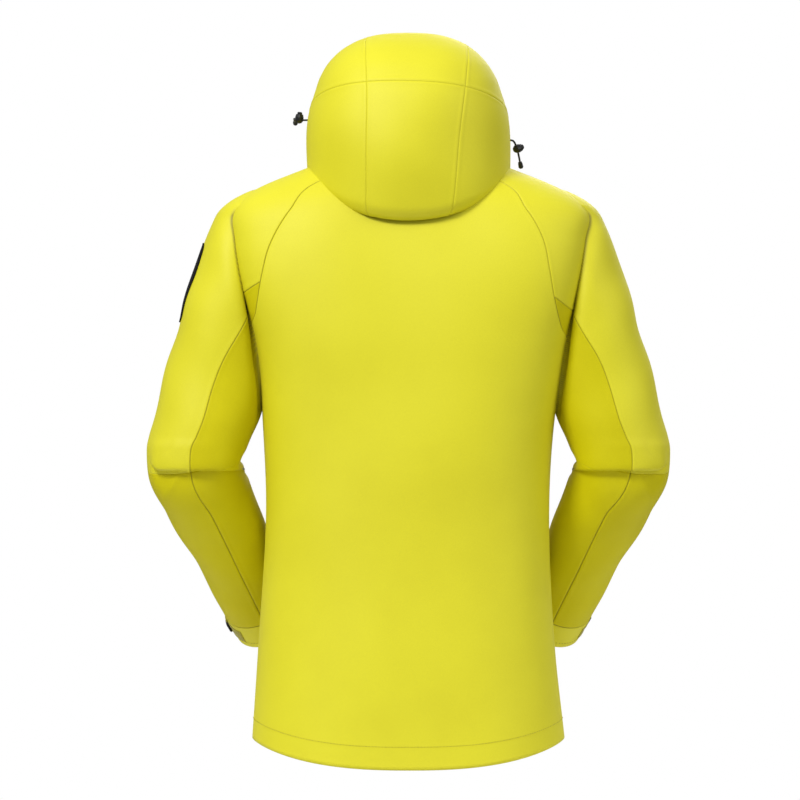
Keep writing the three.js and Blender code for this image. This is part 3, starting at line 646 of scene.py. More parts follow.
# ---------------------------------------------------------------------------------------------
# Upper sleeves: the raglan panel runs over the shoulder from neck to elbow, and the underarm
# panel is let in from the armpit down the inside of the arm. Where the arm hangs, the body's
# cloth stands over the sleeve's in one long fold.
# Stations down the arm: centre, half width outwards and half depth rearwards, as vectors.
F_DIR = np.array((-0.333, -0.606, -0.722))
F_OUT = np.array((0.909, 0, -0.417))
F_REAR = np.array((-0.254, 0.792, -0.554))
CUFF_END = np.array((185.0, -158.0, -574.0))
ELBOW = np.array((280.0, 15.0, -368.0))


def level_station(z, low, high, middle, deep):
    return ((low + high) / 2, middle, z, (high - low) / 2, 0, 0, 0, deep, 0)


def turned_station(centre, wide, deep, turn):
    """A station turned from level (0) to square on the forearm (1)."""
    out = (1 - turn) * np.array((1.0, 0, 0)) + turn * F_OUT
    rear = (1 - turn) * np.array((0, 1.0, 0)) + turn * F_REAR
    return (*centre, *(out / np.linalg.norm(out) * wide), *(rear / np.linalg.norm(rear) * deep))


BEND_START, BEND_END = -20.0, -82.0  # where cloth starts and ends to follow the forearm, from the elbow
STATIONS = np.array(
    [
        level_station(-5, 193, 203, 2, 6),
        level_station(-8, 178, 211, 2, 24),
        level_station(-18, 160, 230, 2, 43),
        level_station(-32, 150, 246.4, 3, 55),
        level_station(-52, 142, 257, 4, 62),
        level_station(-80, 138, 269, 5, 67),
        level_station(-112, 140, 280.5, 6, 69),
        level_station(-149, 150, 293, 7, 69),
        level_station(-188, 163, 301.5, 7, 68),
        level_station(-227, 176, 312.6, 8, 67),
        level_station(-266, 186, 323, 10, 66),
        level_station(-305, 194.4, 333.5, 12, 65.5),
        level_station(-327, 203, 339.5, 13, 65),
        level_station(-345, 211, 342, 14, 64.5),
        turned_station((280.5, 11, -371), 60, 62, 0.5),
        turned_station(ELBOW + 45 * F_DIR, 57.5, 58, 1),
        turned_station(ELBOW + 110 * F_DIR, 54, 54.5, 1),
        turned_station(ELBOW + 175 * F_DIR, 50.5, 50.5, 1),
        turned_station(CUFF_END - 38 * F_DIR, 47.6, 47.6, 1),
        turned_station(CUFF_END, 45.5, 45.5, 1),
    ]
)
steps = np.maximum(np.linalg.norm(np.diff(STATIONS[:, :3], axis=0), axis=1), 3)
run = np.concatenate([[0], np.cumsum(steps)])
LIP_RUN = run[13] + 17.0  # just above the elbow, where the upper sleeve hangs over the forearm
CUFF_RUN, END_RUN = run[18], run[19]
LIP_Z, LIP_WIDE, LIP_OVER, LIP_LIFT = -370.0, 2.6, 7.0, 5.0
VALLEY_DEEP, VALLEY_WIDE = 7.0, 12.0  # the sleeve sinks in beside the body's edge,
GROOVE_DEEP, GROOVE_WIDE = 15.0, 3.2  # and most of all in the crease itself
# how dark the painted shade along the crease is drawn
CREASE_SHADE_STRENGTH = 1.25
# soft diagonal creases below the outer end of the fold: from x, z to x, z, and how high
ELBOW_CREASES = ((336, -350, 324, -402, 1.7), (296, -372, 318, -412, 1.5), (318, -352, 306, -330, -0.8))


def off_body(points):
    """About how far outside the body's surface the points are."""
    power = body_shape(np.minimum(points[..., 2], 20.0))[5]
    return (body_value(points) ** (1 / power) - 1) * np.hypot(points[..., 0], points[..., 1])


def crease_painted_shade(grid):
    """How strongly painted shade darkens the crease between sleeve and body at each point, where the fold's
    shadow falls.
    """
    low = np.clip((-30 - grid[..., 2]) / 10, 0, 1) * np.clip((grid[..., 2] + 330) / 40, 0, 1)
    return CREASE_SHADE_STRENGTH * np.exp(-(((off_body(grid) - 1.0) / 1.7) ** 2)) * low * (grid[..., 1] > 12)


def sleeve_at(along, round_, side):
    """The sleeve's surface, by millimetres along it and the angle round it from the outer side to the rear."""
    along, round_ = np.broadcast_arrays(along, round_)
    v = smooth(np.column_stack([run, STATIONS]), along)
    c, s = np.cos(round_)[..., None], np.sin(round_)[..., None]
    p = v[..., :3] + v[..., 3:6] * np.sign(c) * np.abs(c) ** 0.94
    p = p + v[..., 6:9] * np.sign(s) * np.abs(s) ** 0.94
    away = v[..., 3:6] * c + v[..., 6:9] * s
    away = away / np.maximum(np.linalg.norm(away, axis=-1, keepdims=True), 1e-9)
    degrees = np.degrees(round_) % 360
    lip_z = LIP_Z + 12 * np.clip((52 - degrees) / 30, 0, 1) ** 2
    below = lip_z - p[..., 2]
    strong = np.clip((degrees - 22) / 22, 0, 1) * np.clip((236 - degrees) / 40, 0, 1)
    strong = strong * strong * (3 - 2 * strong)
    near = np.abs(along - LIP_RUN) < 60
    q = np.where(near, below / LIP_WIDE, 9.0)
    p[..., 2] += strong * LIP_OVER * q * np.exp(-q * q)
    lift = LIP_LIFT * (1 - 0.6 * np.clip((degrees - 120) / 60, 0, 1))
    p += away * (-strong * lift * np.tanh(q) * np.exp(-((q * LIP_WIDE / 26) ** 2)) * near)[..., None]
    x, z = p[..., 0], p[..., 2]
    rear = np.clip(np.sin(round_) * 1.4, 0, 1)
    for x0, z0, x1, z1, high in ELBOW_CREASES:
        d = np.array((x1 - x0, z1 - z0), float)
        t = np.clip(((x - x0) * d[0] + (z - z0) * d[1]) / (d @ d), 0, 1)
        gap = np.hypot(x - x0 - t * d[0], z - z0 - t * d[1])
        fades = np.sin(np.pi * np.clip(t * 0.9 + 0.1, 0, 1))
        p += away * (high * rear * np.exp(-((gap / 4.5) ** 2)) * fades)[..., None]
    beside = off_body(p * (side, 1, 1))
    groove = GROOVE_DEEP * np.exp(-((beside / GROOVE_WIDE) ** 2))
    groove = groove + VALLEY_DEEP * np.exp(-((beside / VALLEY_WIDE) ** 2))
    p -= away * (groove * rear * np.clip((-28 - z) / 14, 0, 1) * (along < LIP_RUN + 40))[..., None]
    sway = 1.3 * np.sin(along / 31 + round_ * 2) + 0.9 * np.sin(along / 17 - round_ * 3)
    p += away * (sway * np.clip(along / 120, 0, 1) * np.clip((END_RUN - 30 - along) / 60, 0, 1))[..., None]
    p[..., 0] *= side
    return p


def sleeve_value(points):
    """1 on the upper sleeve's surface, less inside, by level."""
    x, y, z = np.moveaxis(points, -1, 0)
    rows = STATIONS[:14]
    v = smooth(np.column_stack([rows[:, 2], rows[:, [0, 1, 3, 7]]]), z)
    value = ((np.abs(x) - v[..., 0]) / v[..., 2]) ** 2 + ((y - v[..., 1]) / v[..., 3]) ** 2
    return np.where(z > rows[0, 2], 9.0, value)


def outside_arm(grid):
    return sleeve_value(grid) > 0.70


def outside_body(grid):
    return body_value(grid) > 0.72


UNDER_SEAM = ((-400, 83), (-368, 83), (-331, 87), (-234, 92), (-172, 105), (-140, 112), (0, 112))


def under_turn(along, side):
    """Angle of the underarm seam at a place along the sleeve."""
    z = smooth(np.column_stack([run, STATIONS[:, 2]]), along)[..., 0]
    return np.radians(smooth(UNDER_SEAM, z)[..., 0]) - (0.0 if side > 0 else 0.10)


def sleeve_centre(grid):
    """For the sleeves: the middle of the arm at the same height."""
    inside = grid.copy()
    z = np.clip(grid[..., 2], STATIONS[-1, 2], STATIONS[0, 2])
    order = np.argsort(STATIONS[:, 2])
    for k in (0, 1):
        inside[..., k] = np.interp(z, STATIONS[order, 2], STATIONS[order, k])
    inside[..., 0] *= np.sign(grid[..., 0].mean())
    return inside


coarse, fine = np.arange(0, LIP_RUN - 24, 2.7), np.arange(LIP_RUN - 24, LIP_RUN - 0.2, 0.9)
fine_rows = np.concatenate([coarse, fine, [LIP_RUN]])
fine, coarse = np.arange(LIP_RUN, LIP_RUN + 26, 0.9), np.arange(LIP_RUN + 26, CUFF_RUN - 1, 3.0)
fore_rows = np.concatenate([fine, coarse, [CUFF_RUN]])


def sleeve_grid(rows, side, start, end, cols):
    """Part of the sleeve between two angles, which may change along it."""
    start, end = np.broadcast_to(start, rows.shape), np.broadcast_to(end, rows.shape)
    u = np.linspace(0, 1, cols)
    return sleeve_at(rows[:, None], start[:, None] * (1 - u) + end[:, None] * u, side)


ARMPIT = {1: (-126, -16), -1: (-146, -20)}  # the armpit seam's level at the raglan seam, and how far it dips
ARMPIT_END = -236.0


def seam_from(line, high, low, count):
    """The part of a seam between two levels, as count points."""
    levels = np.linspace(high, low, count)
    turn = np.interp(-levels, -line[:, 1], line[:, 0])
    return np.stack([turn + (2 * np.pi if turn[0] < -np.pi / 2 else 0), levels], -1)


def arc(first, last, dip):
    """A line over the side of the body that dips in the middle as the armpit seam does."""
    u = np.linspace(0, 1, 60)[:, None]
    line = first + (last - first) * u
    line[:, 1] += dip * 4 * u[:, 0] * (1 - u[:, 0])
    return line


for name, side in SIDES.items():
    armpit_level, armpit_dip = ARMPIT[side]
    both = raglan_line(side, True, 1400), raglan_line(side, False, 1400)
    if side > 0:
        top = neck_line(NECK_BACK, NECK_FRONT, 100)
    else:
        top = neck_line(np.pi - NECK_BACK, np.pi - NECK_FRONT, 100)
        top[:, 0] = np.where(top[:, 0] < 0, top[:, 0] + 2 * np.pi, top[:, 0])
    down_back, down_front = (seam_from(line, line[0, 1], armpit_level, 70) for line in both)
    armpit_line = arc(down_back[-1], down_front[-1], armpit_dip)
    yoke = body_patch(top, armpit_line, down_back, down_front, 100, "middle")
    rest_back, rest_front = (seam_from(line, armpit_level, ARMPIT_END, 40) for line in both)
    end_line = np.stack([rest_back[-1], rest_front[-1]])
    armpit = body_patch(armpit_line, end_line, rest_back, rest_front, 100, "middle")
    seam = under_turn(fine_rows, side)
    outer = sleeve_grid(fine_rows, side, seam, -seam, 140)
    under_rows = fine_rows[fine_rows > 150]
    under_seam = under_turn(under_rows, side)
    under = sleeve_grid(under_rows, side, under_seam, 2 * np.pi - under_seam, 130)
    # on the sleeve grids the crease beside the body is darkened with painted shade
    shared = {"keep": [outside_arm, outside_body], "crease_shade": [None, crease_painted_shade]}
    raglan = panel(
        f"{name}_raglan_cloth",
        [yoke, outer],
        [along_axis, sleeve_centre],
        edges=["ulrd", "lr"],
        faint=0.8 if side > 0 else 0.4,
        **shared,
    )
    sew(raglan, "shell", [f"{name}_raglan_sleeve"])
    # the underarm panels take the darker copy of the face fabric: painted shade
    gusset = panel(
        f"{name}_underarm_cloth",
        [armpit, under],
        [along_axis, sleeve_centre],
        edges=["ulr", "lr"],
        fabric=shade_fabric,
        **shared,
    )
    sew(gusset, "shell", [f"{name}_underarm_panel"])

    # Forearms: an outer and an under panel, shaped round the bent elbow from under the sleeve's fold.
    body = f"{name}_forearm"
    bend_from, bend_to = (place((ELBOW + np.array((0, 0, z))) * (side, 1, 1)) for z in (BEND_START, BEND_END))
    seam = under_turn(fore_rows, side)
    seam = seam + np.clip((fore_rows - LIP_RUN) / 40, 0, 1) * (np.radians(86) - seam)
    for part, end, replaced in (
        ("outer", -seam, [f"{name}_forearm_panel", f"{name}_elbow_panel"]),
        ("under", 2 * np.pi - seam, [f"{name}_forearm_under_panel"]),
    ):
        grid = sleeve_grid(fore_rows, side, seam, end, 110)
        # the forearms take the darker copy of the face fabric: painted shade where they turn away from the
        # light
        cloth = panel(f"{name}_forearm_{part}_cloth", [grid], sleeve_centre, edges="lrd", fabric=shade_fabric)
        sew(cloth, None, replaced, blend=("shell", body, bend_from, bend_to))
    grid = sleeve_grid(np.linspace(CUFF_RUN, END_RUN, 16), side, 0, 2 * np.pi, 150)
    cuff = panel(f"{name}_cuff_cloth", [grid], sleeve_centre, edges="u", thick=0.0018)
    sew(cuff, body, [f"{name}_cuff"])

# ---------------------------------------------------------------------------------------------
# Hood: six panels, three below and three above a seam that arches over the crown, with a free
# lower lip that lies over the collar, and a stiffened brim.
HOOD_LEVELS = (
    (200.6, 2, 2, 2),
    (200.1, 17, 14, 17),
    (198.6, 34, 29, 33),
    (194, 54, 45, 46),
    (183, 78, 68, 64),
    (164, 101, 92, 84),
    (143, 115, 108, 96),
    (122, 122, 119, 102),
    (94, 129, 127, 104),
    (62, 132.5, 131, 102),
    (26, 133, 131, 97),
    (-14, 131, 127, 97),
    (-60, 126, 119, 97),
)
HOOD_SQUARE = 2.25
HOOD_FAINT, HOOD_SINK = 0.2, 0.25  # the hood's seams are pressed flat and hardly show
HOOD_MIDDLE = np.array((0.0, -4.0, 60.0))


def hood_value(points):
    x, y, z = np.moveaxis(points, -1, 0)
    half, back, front = np.moveaxis(smooth(HOOD_LEVELS, z), -1, 0)
    depth = np.where(y > 0, back, front)
    value = (np.abs(x) / half) ** HOOD_SQUARE + (np.abs(y) / depth) ** HOOD_SQUARE
    return np.where(z > HOOD_LEVELS[0][0] - 0.1, 9.0, value)


def onto_hood(points, middle=HOOD_MIDDLE):
    """Moves points along rays from the middle of the head to the hood's surface."""
    way = points - middle
    way = way / np.maximum(np.linalg.norm(way, axis=-1, keepdims=True), 1e-9)
    low, high = np.full(way.shape[:-1], 20.0), np.full(way.shape[:-1], 230.0)
    for _ in range(36):
        at = (low + high) / 2
        outside = hood_value(middle + way * at[..., None]) > 1
        high, low = np.where(outside, at, high), np.where(outside, low, at)
    return middle + way * ((low + high) / 2)[..., None]


def hood_depth(x, z, back):
    """How far back or forward the hood is at x, z."""
    half, behind, front = np.moveaxis(smooth(HOOD_LEVELS, z), -1, 0)
    share = np.clip(1 - (np.abs(x) / half) ** HOOD_SQUARE, 0, 1) ** (1 / HOOD_SQUARE)
    return behind * share if back else -front * share


LIP_SIDE, LIP_DEEP, LIP_HALF = 26.0, 73.0, 134.0  # the lower lip: its level at the sides, depth and half width
FACE_TOP = 158.0


def lip_level(x):
    return LIP_SIDE - LIP_DEEP * np.sqrt(np.clip(1 - (np.asarray(x, float) / LIP_HALF) ** 2, 0, 1))


def long_seam_x(z, side):
    return 55.0 + 0 * z if side > 0 else -57.0 - 20.0 * np.clip((z + 40) / 200, 0, 1)


def long_seam(side, start, end, count):
    """A long hood seam between two angles about the head's cross axis, from the nape up and forward."""
    a = np.linspace(start, end, count)
    way = np.stack([0 * a, np.cos(a), np.sin(a)], -1)
    p = HOOD_MIDDLE + way * 100
    for _ in range(12):
        p[:, 0] = long_seam_x(p[:, 2], side)
        middle = np.stack([p[:, 0], np.full(count, HOOD_MIDDLE[1]), np.full(count, HOOD_MIDDLE[2])], -1)
        low, high = np.full(count, 5.0), np.full(count, 230.0)
        for _ in range(30):
            at = (low + high) / 2
            outside = hood_value(middle + way * at[:, None]) > 1
            high, low = np.where(outside, at, high), np.where(outside, low, at)
        p = middle + way * ((low + high) / 2)[:, None]
    return p


def crown_plane(x, y):
    return 98 + 0.32 * y + 0.035 * x


def crown_point(turn):
    """The crown seam's point at an angle round the head."""
    turn = np.asarray(turn, float)
    z = np.full(turn.shape, 100.0)
    for _ in range(30):
        half, back, front = np.moveaxis(smooth(HOOD_LEVELS, z), -1, 0)
        c, s = np.cos(turn), np.sin(turn)
        x = half * np.sign(c) * np.abs(c) ** (2 / HOOD_SQUARE)
        y = np.where(s > 0, back, front) * np.sign(s) * np.abs(s) ** (2 / HOOD_SQUARE)
        z = 0.5 * z + 0.5 * crown_plane(x, y)
    return np.stack([x, y, z], -1)


OUTLINE = ((26, 40), (40, 44), (70, 70), (105, 86), (135, 84), (158, 62))


def face_edge(side, low, high, count):
    z = np.linspace(low, high, count)
    x = smooth(OUTLINE, z)[..., 0]
    return np.stack([side * x, hood_depth(x, z, False), z], -1)


def find_turn(test, low, high):
    """The angle where a rising test crosses zero."""
    for _ in range(40):
        middle = (low + high) / 2
        low, high = (low, middle) if test(middle) > 0 else (middle, high)
    return (low + high) / 2


def hood_centre(grid):
    return np.broadcast_to(HOOD_MIDDLE, grid.shape)


def tuck(grid):
    """The lower lip turns in towards the neck."""
    above = grid[..., 2] - lip_level(np.clip(grid[..., 0], -133, 133))
    t = np.clip(1 - above / 17, 0, 1) ** 2 * np.clip((grid[..., 1] - 10) / 40, 0, 1)
    away = grid * (1, 1, 0)
    away = away / np.maximum(np.linalg.norm(away, axis=-1, keepdims=True), 1e-9)
    soft = 1.1 * np.sin(grid[..., 0] / 23 + grid[..., 2] / 41)
    soft = soft + 0.8 * np.sin(grid[..., 2] / 19 - grid[..., 0] / 47)
    calm = np.clip((grid[..., 1] + 60) / 80, 0, 1)
    return grid - away * (8.5 * t)[..., None] + away * (soft * calm)[..., None]


def hood_piece(name, top, bottom, left, right, rows, cols, edges):
    """One hood panel between four lines, laid on the hood's surface and sewn."""
    grid = across(top, bottom, left, right, rows, cols)
    inner = onto_hood(grid)
    inner[0], inner[-1], inner[:, 0], inner[:, -1] = grid[0], grid[-1], grid[:, 0], grid[:, -1]
    piece = panel(f"{name}_cloth", [tuck(inner)], hood_centre, edges=edges, faint=HOOD_FAINT, sink=HOOD_SINK)
    sew(piece, "hood", [name])


def past_long_seam(turn, side):
    """How far the crown seam still is from the long seam, across the head."""
    point = crown_point(turn)
    return long_seam_x(point[2], side) - point[0]


def seam_point(side, turn):
    return long_seam(side, turn, turn, 1)[0]


def past_lip(turn, side):
    point = seam_point(side, turn)
    return point[2] - lip_level(point[0])


def past_crown(turn, side):
    point = seam_point(side, turn)
    return point[2] - crown_plane(point[0], point[1])


def past_face(turn, side):
    return FACE_TOP - seam_point(side, turn)[2] if turn > 1.6 else -1


def past_edge(turn, side):
    point = crown_point(turn)
    return (abs(point[0]) - smooth(OUTLINE, point[2])[..., 0]) * side


SEAM_POINTS, SIDE_COLS, MIDDLE_COLS = 60, 140, 70
crown_turn = {side: find_turn(lambda t, s=side: past_long_seam(t, s), *ends)
              for side, ends in ((1, (0.3, 1.57)), (-1, (1.57, 2.9)))}
nape, over_head = {}, {}
for side in (1, -1):
    start = find_turn(lambda t, s=side: past_lip(t, s), -1.2, 0.3)
    cross = find_turn(lambda t, s=side: past_crown(t, s), 0.2, 1.3)
    end = find_turn(lambda t, s=side: past_face(t, s), 1.6, 2.9)
    nape[side] = long_seam(side, start, cross, SEAM_POINTS)
    over_head[side] = long_seam(side, cross, end, 2 * SEAM_POINTS)
    over_head[side][0] = nape[side][-1]

for name, side in SIDES.items():
    face_turn = -0.75 if side > 0 else np.pi + 0.75
    edge_turn = find_turn(lambda t, s=side: past_edge(t, s), face_turn - 0.6, face_turn + 0.6)
    corner = crown_point(edge_turn)
    crown_line = crown_point(np.linspace(crown_turn[side], edge_turn, SIDE_COLS))
    crown_line[0] = nape[side][-1]
    lower_edge = face_edge(side, corner[2], LIP_SIDE, SEAM_POINTS)
    lower_edge[0] = corner
    x_side = 118 + 15 * np.sin(np.linspace(0.05, np.pi / 2, 40))
    x_back = np.concatenate([np.linspace(abs(nape[side][0, 0]), 118, 60), x_side])
    z_back = lip_level(x_back)
    lip_back = np.stack([side * x_back, hood_depth(x_back, z_back, True), z_back], -1)
    x_front, z_front = np.linspace(133, 40, 60), np.full(60, LIP_SIDE)
    lip_front = np.stack([side * x_front, hood_depth(x_front, z_front, False), z_front], -1)
    lip = evenly(np.concatenate([lip_back, lip_front[1:]]), SIDE_COLS)
    crown_even = evenly(crown_line, SIDE_COLS)
    sides = nape[side][::-1], lower_edge
    hood_piece(f"hood_back_{name}", crown_even, lip, *sides, SEAM_POINTS, SIDE_COLS, "ul")
    over = over_head[side]
    rows = SEAM_POINTS + 1
    upper_edge = face_edge(side, corner[2], FACE_TOP, rows)[::-1]
    upper_edge[0], upper_edge[-1] = over[-1], corner
    sides = evenly(over[:rows][::-1], rows), evenly(upper_edge, rows)
    top_line = evenly(over[SEAM_POINTS:], SIDE_COLS)
    hood_piece(f"hood_crown_{name}", top_line, crown_even, *sides, rows, SIDE_COLS, "udl")

crown_middle = crown_point(np.linspace(crown_turn[-1], crown_turn[1], MIDDLE_COLS))
crown_middle[0], crown_middle[-1] = nape[-1][-1], nape[1][-1]
x = np.linspace(nape[-1][0, 0], nape[1][0, 0], MIDDLE_COLS)
lip = np.stack([x, hood_depth(x, lip_level(x), True), lip_level(x)], -1)
sides = nape[-1][::-1], nape[1][::-1]
hood_piece("hood_back_centre", crown_middle, lip, *sides, SEAM_POINTS, MIDDLE_COLS, "ulr")
x = np.linspace(over_head[-1][-1, 0], over_head[1][-1, 0], MIDDLE_COLS)
z = FACE_TOP + 5.5 * np.clip(1 - (x / 66) ** 2, 0, 1)
front_line = np.stack([x, hood_depth(x, z, False), z], -1)
front_line[0], front_line[-1] = over_head[-1][-1], over_head[1][-1]
sides = over_head[-1][::-1], over_head[1][::-1]
hood_piece("hood_crown_centre", front_line, crown_middle, *sides, 2 * SEAM_POINTS, MIDDLE_COLS, "dlr")

# ---------------------------------------------------------------------------------------------
# Brim: a stiff laminated peak covered in the face fabric and sewn into the hood's front edge.
BRIM_Z, BRIM_THICK = 162.6, 0.0026
BRIM_CURVE = ((-76, -40), (-70, -98), (-40, -126), (0, -126))


def bezier(points, count):
    t = np.linspace(0, 1, count)[:, None]
    a, b, c, d = np.asarray(points, float)
    return (1 - t) ** 3 * a + 3 * t * (1 - t) ** 2 * b + 3 * t * t * (1 - t) * c + t**3 * d


half_brim = bezier(BRIM_CURVE, 60)
brim_edge = evenly(np.concatenate([half_brim, (half_brim * (-1, 1))[-2::-1]]), 90)
share = np.linspace(0.58, 1, 22)[:, None, None]
brim_flat = np.array((0.0, -30.0)) + (brim_edge[None] - (0.0, -30.0)) * share
dip = 1.6 * (np.abs(brim_flat[..., :1]) / 76) ** 2 + 0.9 * share**6
brim_grid = np.concatenate([brim_flat, BRIM_Z - dip], axis=-1)
brim = panel(
    "hood_brim_cloth",
    [brim_grid],
    lambda g: g - (0, 0, 50),
    edges="d",
    thick=BRIM_THICK,
    sink=0.9,
    back=face_fabric,
)
sew(brim, "hood", ["hood_brim"])

# ---------------------------------------------------------------------------------------------
# Collar: a high double collar of the face fabric, cut in one band and joined to the body below the
# hood, open in front for the zip.
COLLAR_THICK = 0.0022
zip_gap = np.arccos((ZIP_EDGE / COLLAR_HALF) ** (1 / 0.9))
around_neck = np.linspace(-zip_gap, np.pi + zip_gap, 240)
c, s = np.cos(around_neck), np.sin(around_neck)
FOOT_UNDER = 13.0  # how far the collar's foot runs on below the seam, under the body's edge
foot_z = 34 - np.where(s > 0, 22 * np.abs(s) ** 1.3, 88 * np.abs(s) ** 1.3)
collar_rows = []
for up in (-1.0, -0.35, *np.linspace(0, 1, 22)):
    to_top = max(up, 0.0)
    z = foot_z + (COLLAR_TOP - foot_z) * to_top + FOOT_UNDER * min(up, 0.0)
    sunk = 2.0 * min(up, 0.0)
    half, back = COLLAR_HALF - 10 * to_top + sunk, COLLAR_BACK - 8 * to_top + sunk
    depth = np.where(s > 0, back, FRONT_TOP + (COLLAR_TOP - z) * FRONT_SLOPE + 2.2 * min(up, 0.0))
    ripple = 0.7 * np.sin(around_neck * 9 + z / 9) * np.sin(np.pi * to_top)
    x = (half + ripple) * np.sign(c) * np.abs(c) ** 0.9
    y = (depth + ripple * (s > -0.9)) * np.sign(s) * np.abs(s) ** 0.9
    collar_rows.append(np.stack([x, y, z], -1))
collar = panel("collar_cloth", [np.stack(collar_rows)], along_axis, edges="d", thick=COLLAR_THICK)
sew(collar, "shell", ["collar"])

# ---------------------------------------------------------------------------------------------
# Front zip: woven black tapes under the front edges with moulded teeth, a die-cast slider and pull,
# a wind flap behind and a soft guard over the top end.
ZIP_TOP, ZIP_BOTTOM = -4.0, -778.0
TAPE_WIDE, TAPE_BACK = 13.0, 1.3
LEAN = np.arctan(FRONT_SLOPE)


def woven_black(name, colour, ribs, rough=0.75, sheen=0.25, gloss=0.5):
    """Woven polyester: close ribs across the tape, slightly dusty black with a soft sheen."""
    material, tree, shader = new_material(
        name, Roughness=rough, Sheen_Weight=sheen, Sheen_Roughness=0.4, Specular_IOR_Level=gloss
    )
    rib = texture(tree, "ShaderNodeTexWave", "UV", bands_direction="Y", in_Scale=ribs, in_Distortion=0.4)
    speck = texture(tree, "ShaderNodeTexNoise", "UV", in_Scale=700.0, in_Detail=2.0)
    dye(tree, shader, speck, "Fac", ((0.3, colour), (0.75, colour + 0x0C0C0C)))
    relief(tree, shader, rib, "Fac", 0.35, 0.0003)
    return material


def moulded(name, colour, rough, grain=2200.0, metal=0.0):
    """Hard parts: a fine spark-eroded grain that breaks up the light, a little paler where rubbed."""
    material, tree, shader = new_material(name, Roughness=rough, Metallic=metal)
    fine = texture(tree, "ShaderNodeTexNoise", "Object", in_Scale=grain, in_Detail=2.0)
    worn = texture(tree, "ShaderNodeTexNoise", "Object", in_Scale=160.0, in_Detail=3.0)
    dye(tree, shader, worn, "Fac", ((0.45, colour), (0.8, colour + 0x101010)))
    relief(tree, shader, fine, "Fac", 0.25, 0.0001)
    return material


tape_weave = woven_black("black_woven_zip_tape", 0x141416, 260.0)
webbing_weave = woven_black("black_woven_webbing", 0x121214, 190.0)
black_acetal = moulded("black_acetal_moulding", 0x121315, 0.36)
black_zinc = moulded("black_painted_zinc", 0x17181A, 0.30, metal=0.35)
black_rubber = moulded("black_silicone_rubber", 0x151515, 0.62, grain=900.0)


def on_zip(points):
    """From the zip's own leaning frame to millimetres from the middle of the body."""
    x, y, z = np.moveaxis(np.asarray(points, float), -1, 0)
    turned_y = y * np.cos(LEAN) + z * np.sin(LEAN)
    turned_z = -y * np.sin(LEAN) + z * np.cos(LEAN)
    return np.stack([x, turned_y - FRONT_TOP, turned_z + COLLAR_TOP], -1)


def flat_grid(xs, y, zs):
    x, z = np.meshgrid(xs, zs)
    return np.stack([x, np.full(x.shape, float(y)), z], -1)


def small_shapes():
    """The tree that sets one small rounded shape at every point of a row: zip teeth and stitches."""
    tree = bpy.data.node_groups.new("row_of_small_shapes", "GeometryNodeTree")
    tree.interface.new_socket("Geometry", in_out="INPUT", socket_type="NodeSocketGeometry")
    for label, kind, value in (
        ("Length", "NodeSocketFloat", 0.003),
        ("Width", "NodeSocketFloat", 0.0007),
        ("Height", "NodeSocketFloat", 0.0007),
        ("Unevenness", "NodeSocketFloat", 0.05),
        ("Seed", "NodeSocketInt", 7),
        ("Material", "NodeSocketMaterial", None),
    ):
        socket = tree.interface.new_socket(label, in_out="INPUT", socket_type=kind)
        if value is not None:
            socket.default_value = value
    tree.interface.new_socket("Geometry", in_out="OUTPUT", socket_type="NodeSocketGeometry")
    given = node(tree, "NodeGroupInput")
    shape = node(tree, "GeometryNodeMeshUVSphere", in_Segments=8, in_Rings=5, in_Radius=0.5)
    sizes = [("X", given, "Length"), ("Y", given, "Width"), ("Z", given, "Height")]
    size = node(tree, "ShaderNodeCombineXYZ", sizes)
    low = node(tree, "ShaderNodeMath", [(1, given, "Unevenness")], operation="SUBTRACT", in_0=1.0)
    high = node(tree, "ShaderNodeMath", [(1, given, "Unevenness")], operation="ADD", in_0=1.0)
    vary = node(tree, "FunctionNodeRandomValue", data_type="FLOAT")
    tree.links.new(low.outputs[0], vary.inputs[2])
    tree.links.new(high.outputs[0], vary.inputs[3])
    tree.links.new(given.outputs["Seed"], vary.inputs["Seed"])
    scaled = node(tree, "ShaderNodeVectorMath", [(0, size, "Vector")], operation="SCALE")
    tree.links.new(vary.outputs[1], scaled.inputs["Scale"])
    facing = node(tree, "GeometryNodeInputNamedAttribute", data_type="FLOAT_VECTOR")
    facing.inputs["Name"].default_value = "facing"
    turn = node(tree, "FunctionNodeEulerToRotation", [(0, facing, "Attribute")])
    placed = [("Points", given, "Geometry"), ("Instance", shape, "Mesh")]
    placed += [("Rotation", turn, 0), ("Scale", scaled, 0)]
    put = node(tree, "GeometryNodeInstanceOnPoints", placed)
    real = node(tree, "GeometryNodeRealizeInstances", [("Geometry", put, "Instances")])
    painted = [("Geometry", real, "Geometry"), ("Material", given, "Material")]
    paint = node(tree, "GeometryNodeSetMaterial", painted)
    made = node(tree, "NodeGroupOutput")
    tree.links.new(paint.outputs["Geometry"], made.inputs["Geometry"])
    return tree


SHAPES = small_shapes()


